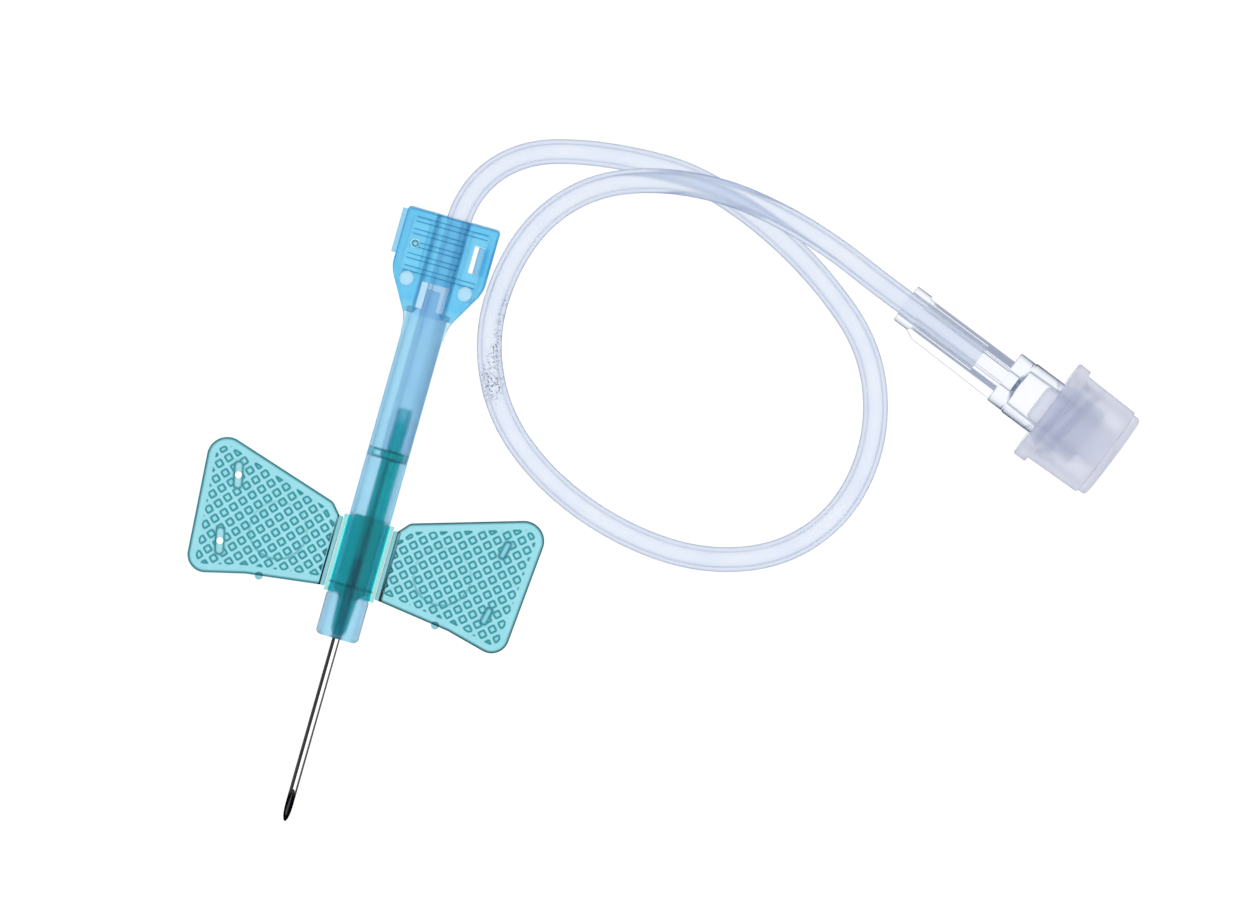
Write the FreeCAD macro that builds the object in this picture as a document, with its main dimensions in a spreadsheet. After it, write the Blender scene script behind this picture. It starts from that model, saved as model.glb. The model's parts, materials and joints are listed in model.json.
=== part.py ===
"""Winged infusion needle set with a sliding safety sheath.

A bevelled steel needle stands in a winged hub. A slotted sheath slides along the hub and over the needle.
A looped tube runs from the tail of the hub to a capped conical connector.

Frame, in millimetres: the needle axis is the Y axis and the needle points to -Y. The origin is where the
needle leaves the nose of the hub. The wings spread along X and +Z is up.
"""
import FreeCAD, Part
import math
import os
import re
import Sketcher

from FreeCAD import Placement, Rotation, Vector

SIZES = [
    ("needle_diameter", 0.82, "outside of the steel needle, 21 gauge"),
    ("needle_bore", 0.51, "inside of the steel needle"),
    ("needle_exposed", 19.5, "needle in front of the hub, three quarters of an inch"),
    ("needle_embedded", 8, "needle held inside the hub"),
    ("needle_root_diameter", 0.8, "rear end of the held stretch, which tapers to it"),
    ("bevel_length", 3.4, "ground slope at the tip"),
    ("bevel_roll", 28, "side facets of the tip, degrees round the needle"),
    ("bevel_lift", 0.31, "side facets start this far above the lowest point"),
    ("bevel_steepness", 1.5, "side facets against the main slope"),
    ("fit_gap", 0.01, "glued fits, each side"),
    ("sunk", 0.1, "a fused piece reaches this far into its neighbour"),
    ("past", 9, "a cutting tool reaches this far past what it cuts"),

    ("nose_tip_diameter", 0.95, "front rim of the nose"),
    ("nose_diameter", 1.6, "nose behind its rounded tip"),
    ("nose_tip_length", 0.6, "rounded tip of the nose"),
    ("nose_length", 3.9, "nose up to the shoulder"),
    ("neck_diameter", 2.0, "nose at the shoulder"),
    ("body_diameter", 3.2, "hub body inside the sheath"),
    ("body_front", 4.7, "front of the full hub body"),
    ("body_rear", 12.4, "rear of the full hub body"),
    ("tail_offset", 0.45, "tail and tube axis, towards the right wing"),
    ("tail_diameter", 2.0, "shaft of the tail"),
    ("tube_seat", 19.4, "collar on which the tube stops"),
    ("collar_length", 0.95, "collar and detent loop along the axis"),
    ("spigot_length", 4.5, "tail inside the tube"),
    ("spigot_diameter", 1.46, "spigot in the tube"),
    ("spigot_lead", 0.3, "tapered end of the spigot"),
    ("flow_diameter", 0.8, "fluid passage in the hub"),
    ("loop_reach", 1.66, "detent loop from the needle axis"),
    ("loop_wall", 0.24, "wall of the detent loop"),
    ("loop_height", 0.7, "detent loop across the sheath"),

    ("root_front", 4.15, "front of the wing roots"),
    ("root_rear", 12.1, "rear of the wing roots"),
    ("film_thickness", 0.4, "thin web through the sheath slots"),
    ("ridge_width", 0.27, "ridge beside the hinge"),
    ("ridge_thickness", 0.8, "ridge beside the hinge"),
    ("hinge_offset", 2.9, "fold line from the needle axis"),
    ("hinge_radius", 0.25, "bead along the fold line"),
    ("hinge_gap", 0.05, "running gap beside the bead"),
    ("wing_thickness", 0.8, "plate of the wing"),
    ("wing_start", 0.15, "plate from the fold line"),
    ("wing_bevel", 0.3, "bevel of the plate over the fold line"),
    ("wing_end_margin", 0.35, "fold line from the ends of the root"),
    ("wing_reach", 13.75, "fold line to the front tip corner"),
    ("wing_tip_lean", 1.2, "rear tip corner beyond the front one"),
    ("wing_front_sweep", 2.5, "front tip corner ahead of the fold line"),
    ("wing_rear_sweep", 5.4, "rear tip corner behind the fold line"),
    ("wing_kink_reach", 7.7, "bend in the front edge"),
    ("wing_kink_sweep", 1.0, "bend in the front edge, forward"),
    ("wing_shoulder_reach", 1.15, "shoulder of the rear edge"),
    ("wing_shoulder_rise", 1.15, "shoulder of the rear edge, rearward"),
    ("wing_front_round", 1.8, "front tip corner radius"),
    ("wing_rear_round", 2.05, "rear tip corner radius"),
    ("wing_shoulder_round", 1, "shoulder of the rear edge"),
    ("wing_kink_round", 3, "radius of the bend in the front edge"),
    ("gate_reach", 6.35, "moulding gate stub from the fold line"),
    ("gate_radius", 0.4, "moulding gate stub"),
    ("gate_height", 0.45, "moulding gate stub"),
    ("pad_pitch", 1.114, "grip pads, centre to centre"),
    ("pad_side", 0.66, "side of a grip pad"),
    ("pad_height", 0.22, "grip pad above the plate"),
    ("pad_least_share", 0.25, "a clipped pad smaller than this share is left out"),
    ("pad_inset", 0.92, "pad field from the edge of the plate"),
    ("pad_hinge_inset", 0.3, "pad field from the plate's inner edge"),
    ("pad_lean", 2.75, "pad rows lean outwards, degrees"),
    ("pad_phase_reach", 13.08, "one pad's centre from the fold line"),
    ("pad_phase_along", 10.35, "the same pad's centre along the axis"),
    ("peg_reach", 11.1, "pegs and slots from the fold line"),
    ("peg_rear", 12.9, "rear peg and slot along the axis"),
    ("peg_front", 6.0, "front peg and slot along the axis"),
    ("peg_length", 1.9, "peg"),
    ("peg_width", 0.72, "peg"),
    ("peg_height", 0.75, "peg above the plate"),
    ("peg_lean", 12, "peg and slot lean, degrees"),
    ("slot_margin", 0.45, "slot beyond the peg at each end"),
    ("slot_depth", 0.45, "slot into the plate"),
    ("slot_clearance", 0.1, "slot beside the peg"),
    ("slot_hole_diameter", 0.7, "hole through the floor of the slot"),

    ("travel", 21.2, "slide of the sheath, tip covered by 2 mm"),
    ("sheath_lead", 0.3, "sheath in front of the hub nose at rest"),
    ("sheath_diameter", 4.37, "barrel of the sheath"),
    ("ring_diameter", 4.43, "closed front ring of the sheath"),
    ("ring_round", 0.5, "rounded rim of the front ring"),
    ("sheath_bore", 3.56, "inside of the sheath"),
    ("slide_gap", 0.15, "slot ends from the wing roots"),
    ("slot_height", 1.1, "side slots of the sheath"),
    ("flare_lead", 2.1, "flare in front of the cover"),
    ("flare_bend", 0.6, "first bend of the flare, ahead of the cover"),
    ("flare_length", 4.5, "slope between the two bends"),
    ("flare_front_round", 4.2, "hollow bend radius"),
    ("flare_rear_round", 3.4, "full bend radius"),
    ("grip_half_width", 4.8, "grip"),
    ("grip_half_thickness", 2.5, "each half of the grip"),
    ("slope_height", 1.7, "sloped front of each half, from the middle plane"),
    ("slope_angle", 28, "sloped front of each half, degrees"),
    ("grip_length", 10.4, "grip behind the front of the cover"),
    ("grip_corner", 0.35, "rear corners of the grip"),
    ("grip_edge", 0.35, "rounded outer edge of the grip"),
    ("cover_setback", 0.15, "cover ahead of the rear face"),
    ("cover_wall", 0.8, "walls of the grip halves"),
    ("barrel_overlap", 0.6, "barrel under the cover"),
    ("tongue_length", 2.1, "latch tongue"),
    ("tongue_width", 1.4, "latch tongue"),
    ("window_length", 2.7, "window round the latch tongue"),
    ("window_width", 2.8, "window round the latch tongue"),
    ("rib_height", 0.15, "finger ribs"),
    ("rib_width", 0.48, "finger ribs"),
    ("rib_pitch", 1.26, "finger ribs"),
    ("rib_first", 1.15, "last rib from the rear face"),
    ("rib_left", 3.6, "left end of the ribs"),
    ("rib_right", 3.8, "right end of the long ribs"),
    ("rib_short", 1.6, "right end of the short ribs"),
    ("post_diameter", 1.3, "round posts under the cover"),
    ("post_offset", 3.05, "round posts"),
    ("post_back", 3.2, "posts behind the front of the cover"),
    ("pin_diameter", 0.8, "locating pin"),
    ("pin_offset", 3.15, "locating pin, to the left"),
    ("pin_short", 0.6, "locating pin below the top of the grip"),
    ("pin_back", 6.8, "locating pin behind the front of the cover"),
    ("cover_clearance", 0.08, "cover holes round posts, pin and barrel"),
    ("hook_offset", 3.5, "snap hook, to the right"),
    ("hook_short", 0.2, "snap hook below the top of the grip"),
    ("hook_width", 0.55, "snap hook"),
    ("hook_length", 2.7, "snap hook along the axis"),
    ("hook_slit", 0.5, "open slit beside the snap hook"),
    ("hook_back", 6.8, "middle of the hook behind the front of the cover"),
    ("strap_width", 0.5, "folded strap on the left side"),
    ("strap_height", 1.1, "folded strap"),
    ("strap_front", 5.4, "strap behind the front of the cover"),
    ("strap_length", 4.6, "strap along the axis"),

    ("tube_diameter", 2.5, "outside of the tube"),
    ("tube_bore", 1.5, "inside of the tube"),
    ("tube_lead_out", 1.75, "tube stays straight this far behind the grip"),
    ("tube_lead_in", 4.2, "tube turns into line this far ahead of the connector"),

    ("connector_length", 22.8, "whole connector"),
    ("connector_collar_diameter", 4.2, "collar round the tube"),
    ("connector_collar_length", 1.7, "collar round the tube"),
    ("connector_bevel", 0.2, "bevel behind the collar and behind the ring"),
    ("connector_core_diameter", 3.9, "core between the ribs"),
    ("connector_rib_diameter", 5.1, "across the ribs near the collar"),
    ("connector_rib_end_diameter", 5.5, "across the ribs near the ring"),
    ("connector_rib_width", 1.5, "each of the four ribs"),
    ("connector_rib_ramp", 0.9, "sloped start of the ribs"),
    ("connector_ring_start", 12.4, "ring in front of the barrel"),
    ("connector_ring_length", 1.8, "ring in front of the barrel"),
    ("connector_ring_diameter", 5.85, "ring in front of the barrel"),
    ("connector_barrel_diameter", 6.05, "barrel"),
    ("tube_socket_depth", 9.2, "tube inside the connector"),
    ("connector_flow_diameter", 1.6, "passage between the sockets"),
    ("cone_mouth_diameter", 4.3, "conical socket at its mouth"),
    ("cone_depth", 8.6, "conical socket"),
    ("cone_taper", 0.06, "diameter lost for each millimetre"),
    ("lug_diameter", 7.7, "across the two thread lugs"),
    ("lug_setback", 0.4, "thread lugs from the mouth"),
    ("lug_width", 3.2, "thread lug"),
    ("lug_length", 1.2, "thread lug along the axis"),

    ("cap_start", 17.7, "open rim of the cap on the connector"),
    ("cap_length", 8.3, "whole cap"),
    ("cap_flange_diameter", 11.2, "rim flange"),
    ("cap_flange_length", 1.4, "rim flange"),
    ("cap_diameter", 10.2, "skirt behind the flange"),
    ("cap_end_diameter", 9.9, "skirt at the step"),
    ("cap_step_diameter", 9.4, "closed end"),
    ("cap_step_length", 0.9, "closed end"),
    ("cap_edge", 0.25, "bevel of the closed end"),
    ("cap_bore", 8.2, "inside of the skirt"),
    ("cap_wall", 1.1, "end wall of the cap"),
    ("plug_clearance", 0.05, "plug in the conical socket, each side"),
    ("plug_lead", 0.2, "bevel at the end of the plug"),
    ("plug_length", 6.2, "plug inside the socket"),
]

# The free part of the tube's route: points between the grip and the connector. It lies, then rises over
# itself at the crossing and goes on to the connector.
TUBE_POINTS = [
    (2.2, 49.5, -0.35),
    (5.5, 52.3, -0.9),
    (9.9, 53.7, -1.3),
    (15.5, 54.5, -1.38),
    (21.9, 54.6, -1.38),
    (29.5, 52.3, -1.38),
    (37.2, 48.2, -1.38),
    (44.1, 42.5, -1.38),
    (47.1, 34.5, -1.38),
    (46.1, 26.2, -1.38),
    (41.2, 20.0, -1.38),
    (33.3, 17.1, -1.38),
    (24.4, 17.7, -1.38),
    (16.0, 20.8, -1.38),
    (9.6, 25.9, -1.38),
    (6.3, 32.8, -1.38),
    (6.2, 39.7, -1.38),
    (8.2, 46.1, -1.38),
    (12.5, 50.8, -0.6),
    (18.6, 53.2, 1.35),
    (25.6, 53.9, 1.8),
    (32.2, 52.9, 2.1),
    (37.9, 51.2, 2.65),
]
CONNECTOR_PLACE = (46.1, 47.9)
CONNECTOR_HEADING = -21.0

doc = FreeCAD.newDocument("winged_needle_set")
sheet = doc.addObject("Spreadsheet::Sheet", "Sizes")
for row, (alias, number, note) in enumerate(SIZES, 1):
    sheet.set("A%d" % row, alias)
    sheet.set("B%d" % row, str(number))
    sheet.set("C%d" % row, note)
    sheet.setAlias("B%d" % row, alias)
doc.recompute()
ALIASES = {alias for alias, number, note in SIZES}


def size(alias):
    """A driving dimension, read from the sheet."""
    return float(getattr(sheet, alias))


def linked(expression):
    """The expression with every alias in it pointing at the sheet."""
    text = str(expression)
    return re.sub(r"[a-z_]+", lambda word: "Sizes." + word[0] if word[0] in ALIASES else word[0], text)


def bind(thing, prop, expression):
    """Bind one property to an expression of the sheet's sizes."""
    thing.setExpression(prop, linked(expression))


def bind_base(thing, x, y, z):
    for axis, expression in zip("xyz", (x, y, z)):
        bind(thing, "Placement.Base." + axis, expression)


def box(name, low, high):
    """A block between two corners, each given as three expressions."""
    block = doc.addObject("Part::Box", name)
    for prop, a, b in zip(("Length", "Width", "Height"), low, high):
        bind(block, prop, "(%s) - (%s)" % (b, a))
    bind_base(block, *low)
    return block


def rod(name, x, start, end, z, diameter):
    """A round bar along Y."""
    bar = doc.addObject("Part::Cylinder", name)
    bar.Placement.Rotation = Rotation(Vector(1, 0, 0), -90)
    bind(bar, "Radius", "(%s) / 2" % diameter)
    bind(bar, "Height", "(%s) - (%s)" % (end, start))
    bind_base(bar, x, start, z)
    return bar


def slope_tool(name, along, height, angle, side):
    """A broad block whose face leaves a point of the grip at an angle, above it or below it."""
    block = doc.addObject("Part::Box", name)
    reach = 8 * size("grip_half_width")
    for prop in ("Length", "Width", "Height"):
        setattr(block, prop, reach)
    turn = Rotation(Vector(1, 0, 0), angle)
    corner = turn.multVec(Vector(-reach / 2, -reach / 2, 0 if side > 0 else -reach))
    block.Placement.Rotation = turn
    bind_base(block, "%.6f" % corner.x, "%s + (%.6f)" % (along, corner.y),
              "%s + (%.6f)" % (height, corner.z))
    return block


def post(name, x, y, low, high, diameter):
    """A round bar along Z."""
    bar = doc.addObject("Part::Cylinder", name)
    bind(bar, "Radius", "(%s) / 2" % diameter)
    bind(bar, "Height", "(%s) - (%s)" % (high, low))
    bind_base(bar, x, y, low)
    return bar


def fuse(name, *shapes):
    joined = doc.addObject("Part::MultiFuse", name)
    joined.Shapes = list(shapes)
    joined.Refine = True
    return joined


def common(name, *shapes):
    shared = doc.addObject("Part::MultiCommon", name)
    shared.Shapes = list(shapes)
    return shared


def cut(name, base, *tools):
    tool = tools[0] if len(tools) == 1 else fuse(name + "_tools", *tools)
    rest = doc.addObject("Part::Cut", name)
    rest.Base = base
    rest.Tool = tool
    rest.Refine = True
    return rest


def rounded_bar(name, x, y, low, high, length, width, lean):
    """An upright bar with round ends, its long side leaning from Y by an angle, in degrees."""
    half = "((%s) - (%s)) / 2" % (length, width)
    middle = box(name + "_middle", ("-(%s) / 2" % width, "-" + half, low), ("(%s) / 2" % width, half, high))
    ends = []
    for n, sign in enumerate(("", "-")):
        ends.append(post("%s_end_%d" % (name, n), "0", sign + half, low, high, width))
    bar = fuse(name, middle, *ends)
    bar.Placement.Rotation = Rotation(Vector(0, 0, 1), lean)
    bind(bar, "Placement.Base.x", x)
    bind(bar, "Placement.Base.y", y)
    return bar


def sketch_on(body, name, role):
    sketch = body.newObject("Sketcher::SketchObject", name)
    plane = [feature for feature in body.Origin.OriginFeatures if feature.Role == role][0]
    sketch.AttachmentSupport = [(plane, "")]
    sketch.MapMode = "FlatFace"
    return sketch


def outline(body, name, corners, role="XY_Plane"):
    """A closed sketch of straight sides. Each corner is a pair of expressions, held from the origin."""
    sketch = sketch_on(body, name, role)
    count = len(corners)
    start = size("past")
    ring = [Vector(start * math.cos(math.tau * n / count), start * math.sin(math.tau * n / count), 0)
            for n in range(count)]
    for n in range(count):
        sketch.addGeometry(Part.LineSegment(ring[n], ring[(n + 1) % count]), False)
    for n in range(count):
        sketch.addConstraint(Sketcher.Constraint("Coincident", n, 2, (n + 1) % count, 1))
    for n, corner in enumerate(corners):
        for kind, place, expression in zip(("DistanceX", "DistanceY"), ring[n], corner):
            index = sketch.addConstraint(Sketcher.Constraint(kind, -1, 1, n, 1, place + 0.001))
            bind(sketch, "Constraints[%d]" % index, expression)
    return sketch


def pad(body, name, sketch, low, high):
    """The sketch made solid between two heights."""
    bind(sketch, "AttachmentOffset.Base.z", low)
    feature = body.newObject("PartDesign::Pad", name)
    feature.Profile = sketch
    bind(feature, "Length", "(%s) - (%s)" % (high, low))
    doc.recompute()
    return feature


def revolve(body, name, profile, shift="0"):
    """A profile of (radius, along) corners turned about the Y axis, or about a line beside it."""
    sketch = outline(body, name + "_profile", profile)
    bind(sketch, "AttachmentOffset.Base.x", shift)
    feature = body.newObject("PartDesign::Revolution", name)
    feature.Profile = sketch
    feature.ReferenceAxis = (sketch, ["V_Axis"])
    feature.Angle = 360
    doc.recompute()
    return feature


def edges_of(feature, test):
    """Names of the edges whose middle point and length pass a test."""
    names = []
    for number, edge in enumerate(feature.Shape.Edges, 1):
        middle = edge.valueAt((edge.FirstParameter + edge.LastParameter) / 2)
        if test(edge, middle):
            names.append("Edge%d" % number)
    return names


def dress(body, name, kind, feature, edges, prop, expression):
    """A fillet or a chamfer on named edges."""
    dressed = body.newObject("PartDesign::" + kind, name)
    dressed.Base = (feature, edges)
    bind(dressed, prop, expression)
    doc.recompute()
    return dressed


def round_corner(body, name, feature, sketch, corner, radius):
    """Round the upright edge that stands on one corner of the outline."""
    point = sketch.Geometry[corner].StartPoint

    def stands_there(edge, middle):
        across = math.hypot(middle.x - point.x, middle.y - point.y)
        return across < 1e-4 and abs(edge.tangentAt(edge.FirstParameter).z) > 0.99

    edges = edges_of(feature, stands_there)
    return dress(body, name, "Fillet", feature, edges, "Radius", radius)


def label(thing, name):
    thing.Label = name
    return thing


# Needle

def make_needle():
    """A tube ground to a main slope and two side facets, tapering a little where the hub holds it."""
    shaft = rod("needle_shaft", "0", "-needle_exposed", "0", "0", "needle_diameter")
    root = doc.addObject("Part::Cone", "needle_root")
    root.Placement.Rotation = Rotation(Vector(1, 0, 0), -90)
    bind(root, "Radius1", "needle_diameter / 2")
    bind(root, "Radius2", "needle_root_diameter / 2")
    bind(root, "Height", "needle_embedded")
    blank = fuse("needle_blank", shaft, root)
    lumen = rod("needle_lumen", "0", "-needle_exposed - past", "needle_embedded + past", "0", "needle_bore")
    diameter = size("needle_diameter")
    slope = math.degrees(math.atan2(diameter, size("bevel_length")))
    reach = 2 * size("bevel_length")
    tools = [lumen]
    roll, lift, steepness = size("bevel_roll"), size("bevel_lift"), size("bevel_steepness")
    grinds = (("main", 0, 0, 1), ("left", roll, lift, steepness), ("right", -roll, lift, steepness))
    for name, roll, lift, steeper in grinds:
        wheel = doc.addObject("Part::Box", "needle_grind_" + name)
        wheel.Length = 4 * diameter
        wheel.Width = 2 * reach
        wheel.Height = 2 * diameter
        tip = Vector(0, -size("needle_exposed"), -diameter / 2)
        tilt = Rotation(Vector(0, 1, 0), roll).multiply(Rotation(Vector(1, 0, 0), slope * steeper))
        corner = tilt.multVec(Vector(-2 * diameter, -reach, lift * diameter))
        wheel.Placement = Placement(tip + corner, tilt)
        tools.append(wheel)
    return label(cut("needle_ground", blank, *tools), "needle")


# Hub and wings

ROOT_EDGE = "hinge_offset - hinge_radius - hinge_gap"


def make_hub():
    """Turned nose and body, webs and ridges to the fold lines, and an offset tail for the tube."""
    body = doc.addObject("PartDesign::Body", "hub_body")
    revolve(body, "hub_turned", [
        ("0", "0"),
        ("nose_tip_diameter / 2", "0"),
        ("nose_diameter / 2", "nose_tip_length"),
        ("neck_diameter / 2", "nose_length"),
        ("body_diameter / 2", "body_front"),
        ("body_diameter / 2", "body_rear"),
        ("0", "body_rear"),
    ])
    revolve(body, "hub_tail", [
        ("0", "body_rear - tail_diameter / 2"),
        ("tail_diameter / 2", "body_rear - tail_diameter / 2"),
        ("tail_diameter / 2", "tube_seat - collar_length"),
        ("tube_diameter / 2", "tube_seat - collar_length"),
        ("tube_diameter / 2", "tube_seat"),
        ("spigot_diameter / 2", "tube_seat"),
        ("spigot_diameter / 2", "tube_seat + spigot_length - spigot_lead"),
        ("spigot_diameter / 2 - spigot_lead / 2", "tube_seat + spigot_length"),
        ("0", "tube_seat + spigot_length"),
    ], "tail_offset")
    web = outline(body, "hub_web_outline", [
        ("-(%s)" % ROOT_EDGE, "root_front"),
        (ROOT_EDGE, "root_front"),
        (ROOT_EDGE, "root_rear"),
        ("-(%s)" % ROOT_EDGE, "root_rear"),
    ])
    pad(body, "hub_web", web, "-film_thickness / 2", "film_thickness / 2")
    for name, side in (("right", ""), ("left", "-")):
        ridge = outline(body, "hub_ridge_outline_" + name, [
            ("%s(%s - ridge_width)" % (side, ROOT_EDGE), "root_front"),
            ("%s(%s)" % (side, ROOT_EDGE), "root_front"),
            ("%s(%s)" % (side, ROOT_EDGE), "root_rear"),
            ("%s(%s - ridge_width)" % (side, ROOT_EDGE), "root_rear"),
        ])
        pad(body, "hub_ridge_" + name, ridge, "-ridge_thickness / 2", "ridge_thickness / 2")
    loop_outer = box("loop_outer", ("-loop_reach", "tube_seat - collar_length", "-loop_height / 2"),
                     ("tail_offset", "tube_seat", "loop_height / 2"))
    loop_inner = box("loop_inner",
                     ("-loop_reach + loop_wall", "tube_seat - collar_length + loop_wall", "-loop_height"),
                     ("tail_offset - tail_diameter / 2", "tube_seat - loop_wall", "loop_height"))
    loop = cut("detent_loop", loop_outer, loop_inner)
    solid = fuse("hub_solid", body, loop)
    needle_hole = rod("hub_needle_hole", "0", "-past", "needle_embedded", "0",
                      "needle_diameter + 2 * fit_gap")
    passage = rod("hub_passage", "0", "needle_embedded - sunk", "body_rear", "0", "flow_diameter")
    tail_passage = rod("hub_tail_passage", "tail_offset", "body_rear - flow_diameter",
                       "tube_seat + spigot_length + past", "0", "flow_diameter")
    return label(cut("hub_bored", solid, needle_hole, passage, tail_passage), "hub")


def pad_field(plate, side):
    """Square grip pads on a grid turned by 45 degrees, clipped by an outline inside the plate's own."""
    top = size("wing_thickness") / 2
    sunk = size("sunk")
    underside = min(plate.Shape.Faces, key=lambda face: face.CenterOfMass.z)
    start = size("hinge_offset") + size("wing_start")
    front = size("root_front") + size("wing_end_margin")
    rear = size("root_rear") - size("wing_end_margin")
    spare = size("pad_inset") - size("pad_hinge_inset")
    left = min(side * (start - spare), side * (start + sunk))
    strip = Part.makePlane(spare + sunk, rear - front, Vector(left, front, -top))
    whole = Part.Face(underside.OuterWire).fuse(strip).removeSplitter().Faces[0]
    field = whole.makeOffset2D(-size("pad_inset"))
    field.translate(Vector(0, 0, 2 * top - sunk))
    rise = Vector(0, 0, size("pad_height") + sunk)
    prism = field.extrude(rise)
    pitch = size("pad_pitch")
    half = size("pad_side") / 2
    turn = Rotation(Vector(0, 0, 1), side * (45 - size("pad_lean")))
    first = Vector(side * (size("hinge_offset") + size("pad_phase_reach")), size("pad_phase_along"), 0)
    ring = [Vector(x * half, y * half, 0) for x, y in ((1, 1), (-1, 1), (-1, -1), (1, -1))]
    pads = []
    reach = math.ceil(field.BoundBox.DiagonalLength / pitch)
    for column in range(-reach, reach + 1):
        for row in range(-reach, reach + 1):
            centre = first + turn.multVec(Vector(column * pitch, row * pitch, 0))
            centre.z = top - sunk
            if not field.BoundBox.isInside(Vector(centre.x, centre.y, field.BoundBox.Center.z)):
                continue
            points = [centre + turn.multVec(point) for point in ring]
            block = Part.Face(Part.makePolygon(points + points[:1])).extrude(rise)
            for piece in block.common(prism).Solids:
                if piece.Volume > size("pad_least_share") * block.Volume:
                    pads.append(piece)
    grid = doc.addObject("Part::Feature", "pads_right" if side > 0 else "pads_left")
    grid.Shape = Part.makeCompound(pads)
    return grid


def make_wing(name, side):
    """A soft plate on a round bead, with its grip pads, gate stub, and pegs or slots."""
    sign = "" if side > 0 else "-"
    front = "(root_front + wing_end_margin)"
    rear = "(root_rear - wing_end_margin)"

    def across(reach):
        return "%s(hinge_offset + %s)" % (sign, reach)

    body = doc.addObject("PartDesign::Body", name + "_plate")
    shape = outline(body, name + "_outline", [
        (across("wing_start"), front),
        (across("wing_kink_reach"), front + " - wing_kink_sweep"),
        (across("wing_reach"), front + " - wing_front_sweep"),
        (across("wing_reach + wing_tip_lean"), rear + " + wing_rear_sweep"),
        (across("wing_shoulder_reach"), rear + " + wing_shoulder_rise"),
        (across("wing_start"), rear),
    ])
    plate = pad(body, name + "_pad", shape, "-wing_thickness / 2", "wing_thickness / 2")
    rounds = ((2, "wing_front_round"), (3, "wing_rear_round"), (1, "wing_kink_round"),
              (4, "wing_shoulder_round"))
    for corner, radius in rounds:
        plate = round_corner(body, "%s_round_%d" % (name, corner), plate, shape, corner, radius)
    start = side * (size("hinge_offset") + size("wing_start"))
    top = size("wing_thickness") / 2
    edges = edges_of(plate, lambda edge, middle: abs(middle.x - start) < 1e-4 and abs(middle.z - top) < 1e-4)
    plate = dress(body, name + "_bevel", "Chamfer", plate, edges, "Size", "wing_bevel")
    bead = rod(name + "_bead", sign + "hinge_offset", front, rear, "0", "2 * hinge_radius")
    gate_side = across("gate_reach")
    gate_along = front + " - wing_kink_sweep * gate_reach / wing_kink_reach"
    gate = post(name + "_gate", gate_side, gate_along, "-gate_height / 2", "gate_height / 2",
                "2 * gate_radius")
    parts = [body, bead, gate, pad_field(body, side)]
    lean = -side * size("peg_lean")
    top = "wing_thickness / 2"
    if side > 0:
        for place in ("peg_front", "peg_rear"):
            parts.append(rounded_bar(name + "_" + place, across("peg_reach"), place, top + " - sunk",
                                     top + " + peg_height", "peg_length", "peg_width", lean))
        return label(fuse(name + "_solid", *parts), name)
    tools = []
    for place in ("peg_front", "peg_rear"):
        tools.append(rounded_bar(name + "_slot_" + place, across("peg_reach"), place, top + " - slot_depth",
                                 top + " + past", "peg_length + 2 * slot_margin",
                                 "peg_width + 2 * slot_clearance", lean))
        tools.append(post(name + "_hole_" + place, across("peg_reach"), place, "-past", "past",
                          "slot_hole_diameter"))
    return label(cut(name + "_solid", fuse(name + "_whole", *parts), *tools), name)


# Sheath and grip cover

SLOT_FRONT = "(root_front - slide_gap)"
COVER_FRONT = "(root_rear + travel + slide_gap)"
GRIP_REAR = "(%s + grip_length)" % COVER_FRONT
BARREL_END = "(%s + barrel_overlap)" % COVER_FRONT
INNER = "(sheath_bore / 2 + cover_wall / 2)"
OUTER = "(grip_half_width - cover_wall)"
POCKET_FRONT = "(%s + flare_length - flare_bend)" % COVER_FRONT


def grip_block(name, rear, low, high, outer_face):
    """One half of the grip: the flared outline made solid, with rounded corners and outer edge."""
    bend = "(%s - flare_bend)" % COVER_FRONT
    neck = "(ring_diameter / 2)"
    right = [
        (neck, "%s - flare_lead" % COVER_FRONT),
        (neck, bend),
        ("grip_half_width", bend + " + flare_length"),
        ("grip_half_width", rear),
    ]
    left = [("-" + across, along) for across, along in reversed(right)]
    body = doc.addObject("PartDesign::Body", name)
    shape = outline(body, name + "_outline", right + left)
    block = pad(body, name + "_pad", shape, low, high)
    rounds = ((1, "flare_front_round"), (6, "flare_front_round"), (2, "flare_rear_round"),
              (5, "flare_rear_round"), (3, "grip_corner"), (4, "grip_corner"))
    for corner, radius in rounds:
        block = round_corner(body, "%s_round_%d" % (name, corner), block, shape, corner, radius)
    front = shape.Geometry[0].StartPoint.y
    edges = edges_of(block, lambda edge, middle: (abs(middle.z - outer_face) < 1e-4
                                                  and middle.y > front + 1e-3))
    dress(body, name + "_edge", "Fillet", block, edges, "Radius", "grip_edge")
    return body


def pockets(name, low, high):
    """Two hollows, one each side of the channel."""
    rear = "%s - cover_wall - cover_setback" % GRIP_REAR
    return [
        box(name + "_pocket_right", (INNER, POCKET_FRONT, low), (OUTER, rear, high)),
        box(name + "_pocket_left", ("-" + OUTER, POCKET_FRONT, low), ("-" + INNER, rear, high)),
    ]


def ribs(name, low, high):
    """Five finger ribs across the grip; the first and the last are the long ones."""
    bars = []
    for number in range(5):
        right = "rib_right" if number in (0, 4) else "rib_short"
        along = "%s - rib_first - %d * rib_pitch" % (GRIP_REAR, number)
        bars.append(box("%s_rib_%d" % (name, number), ("-rib_left", along + " - rib_width / 2", low),
                        (right, along + " + rib_width / 2", high)))
    return bars


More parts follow.
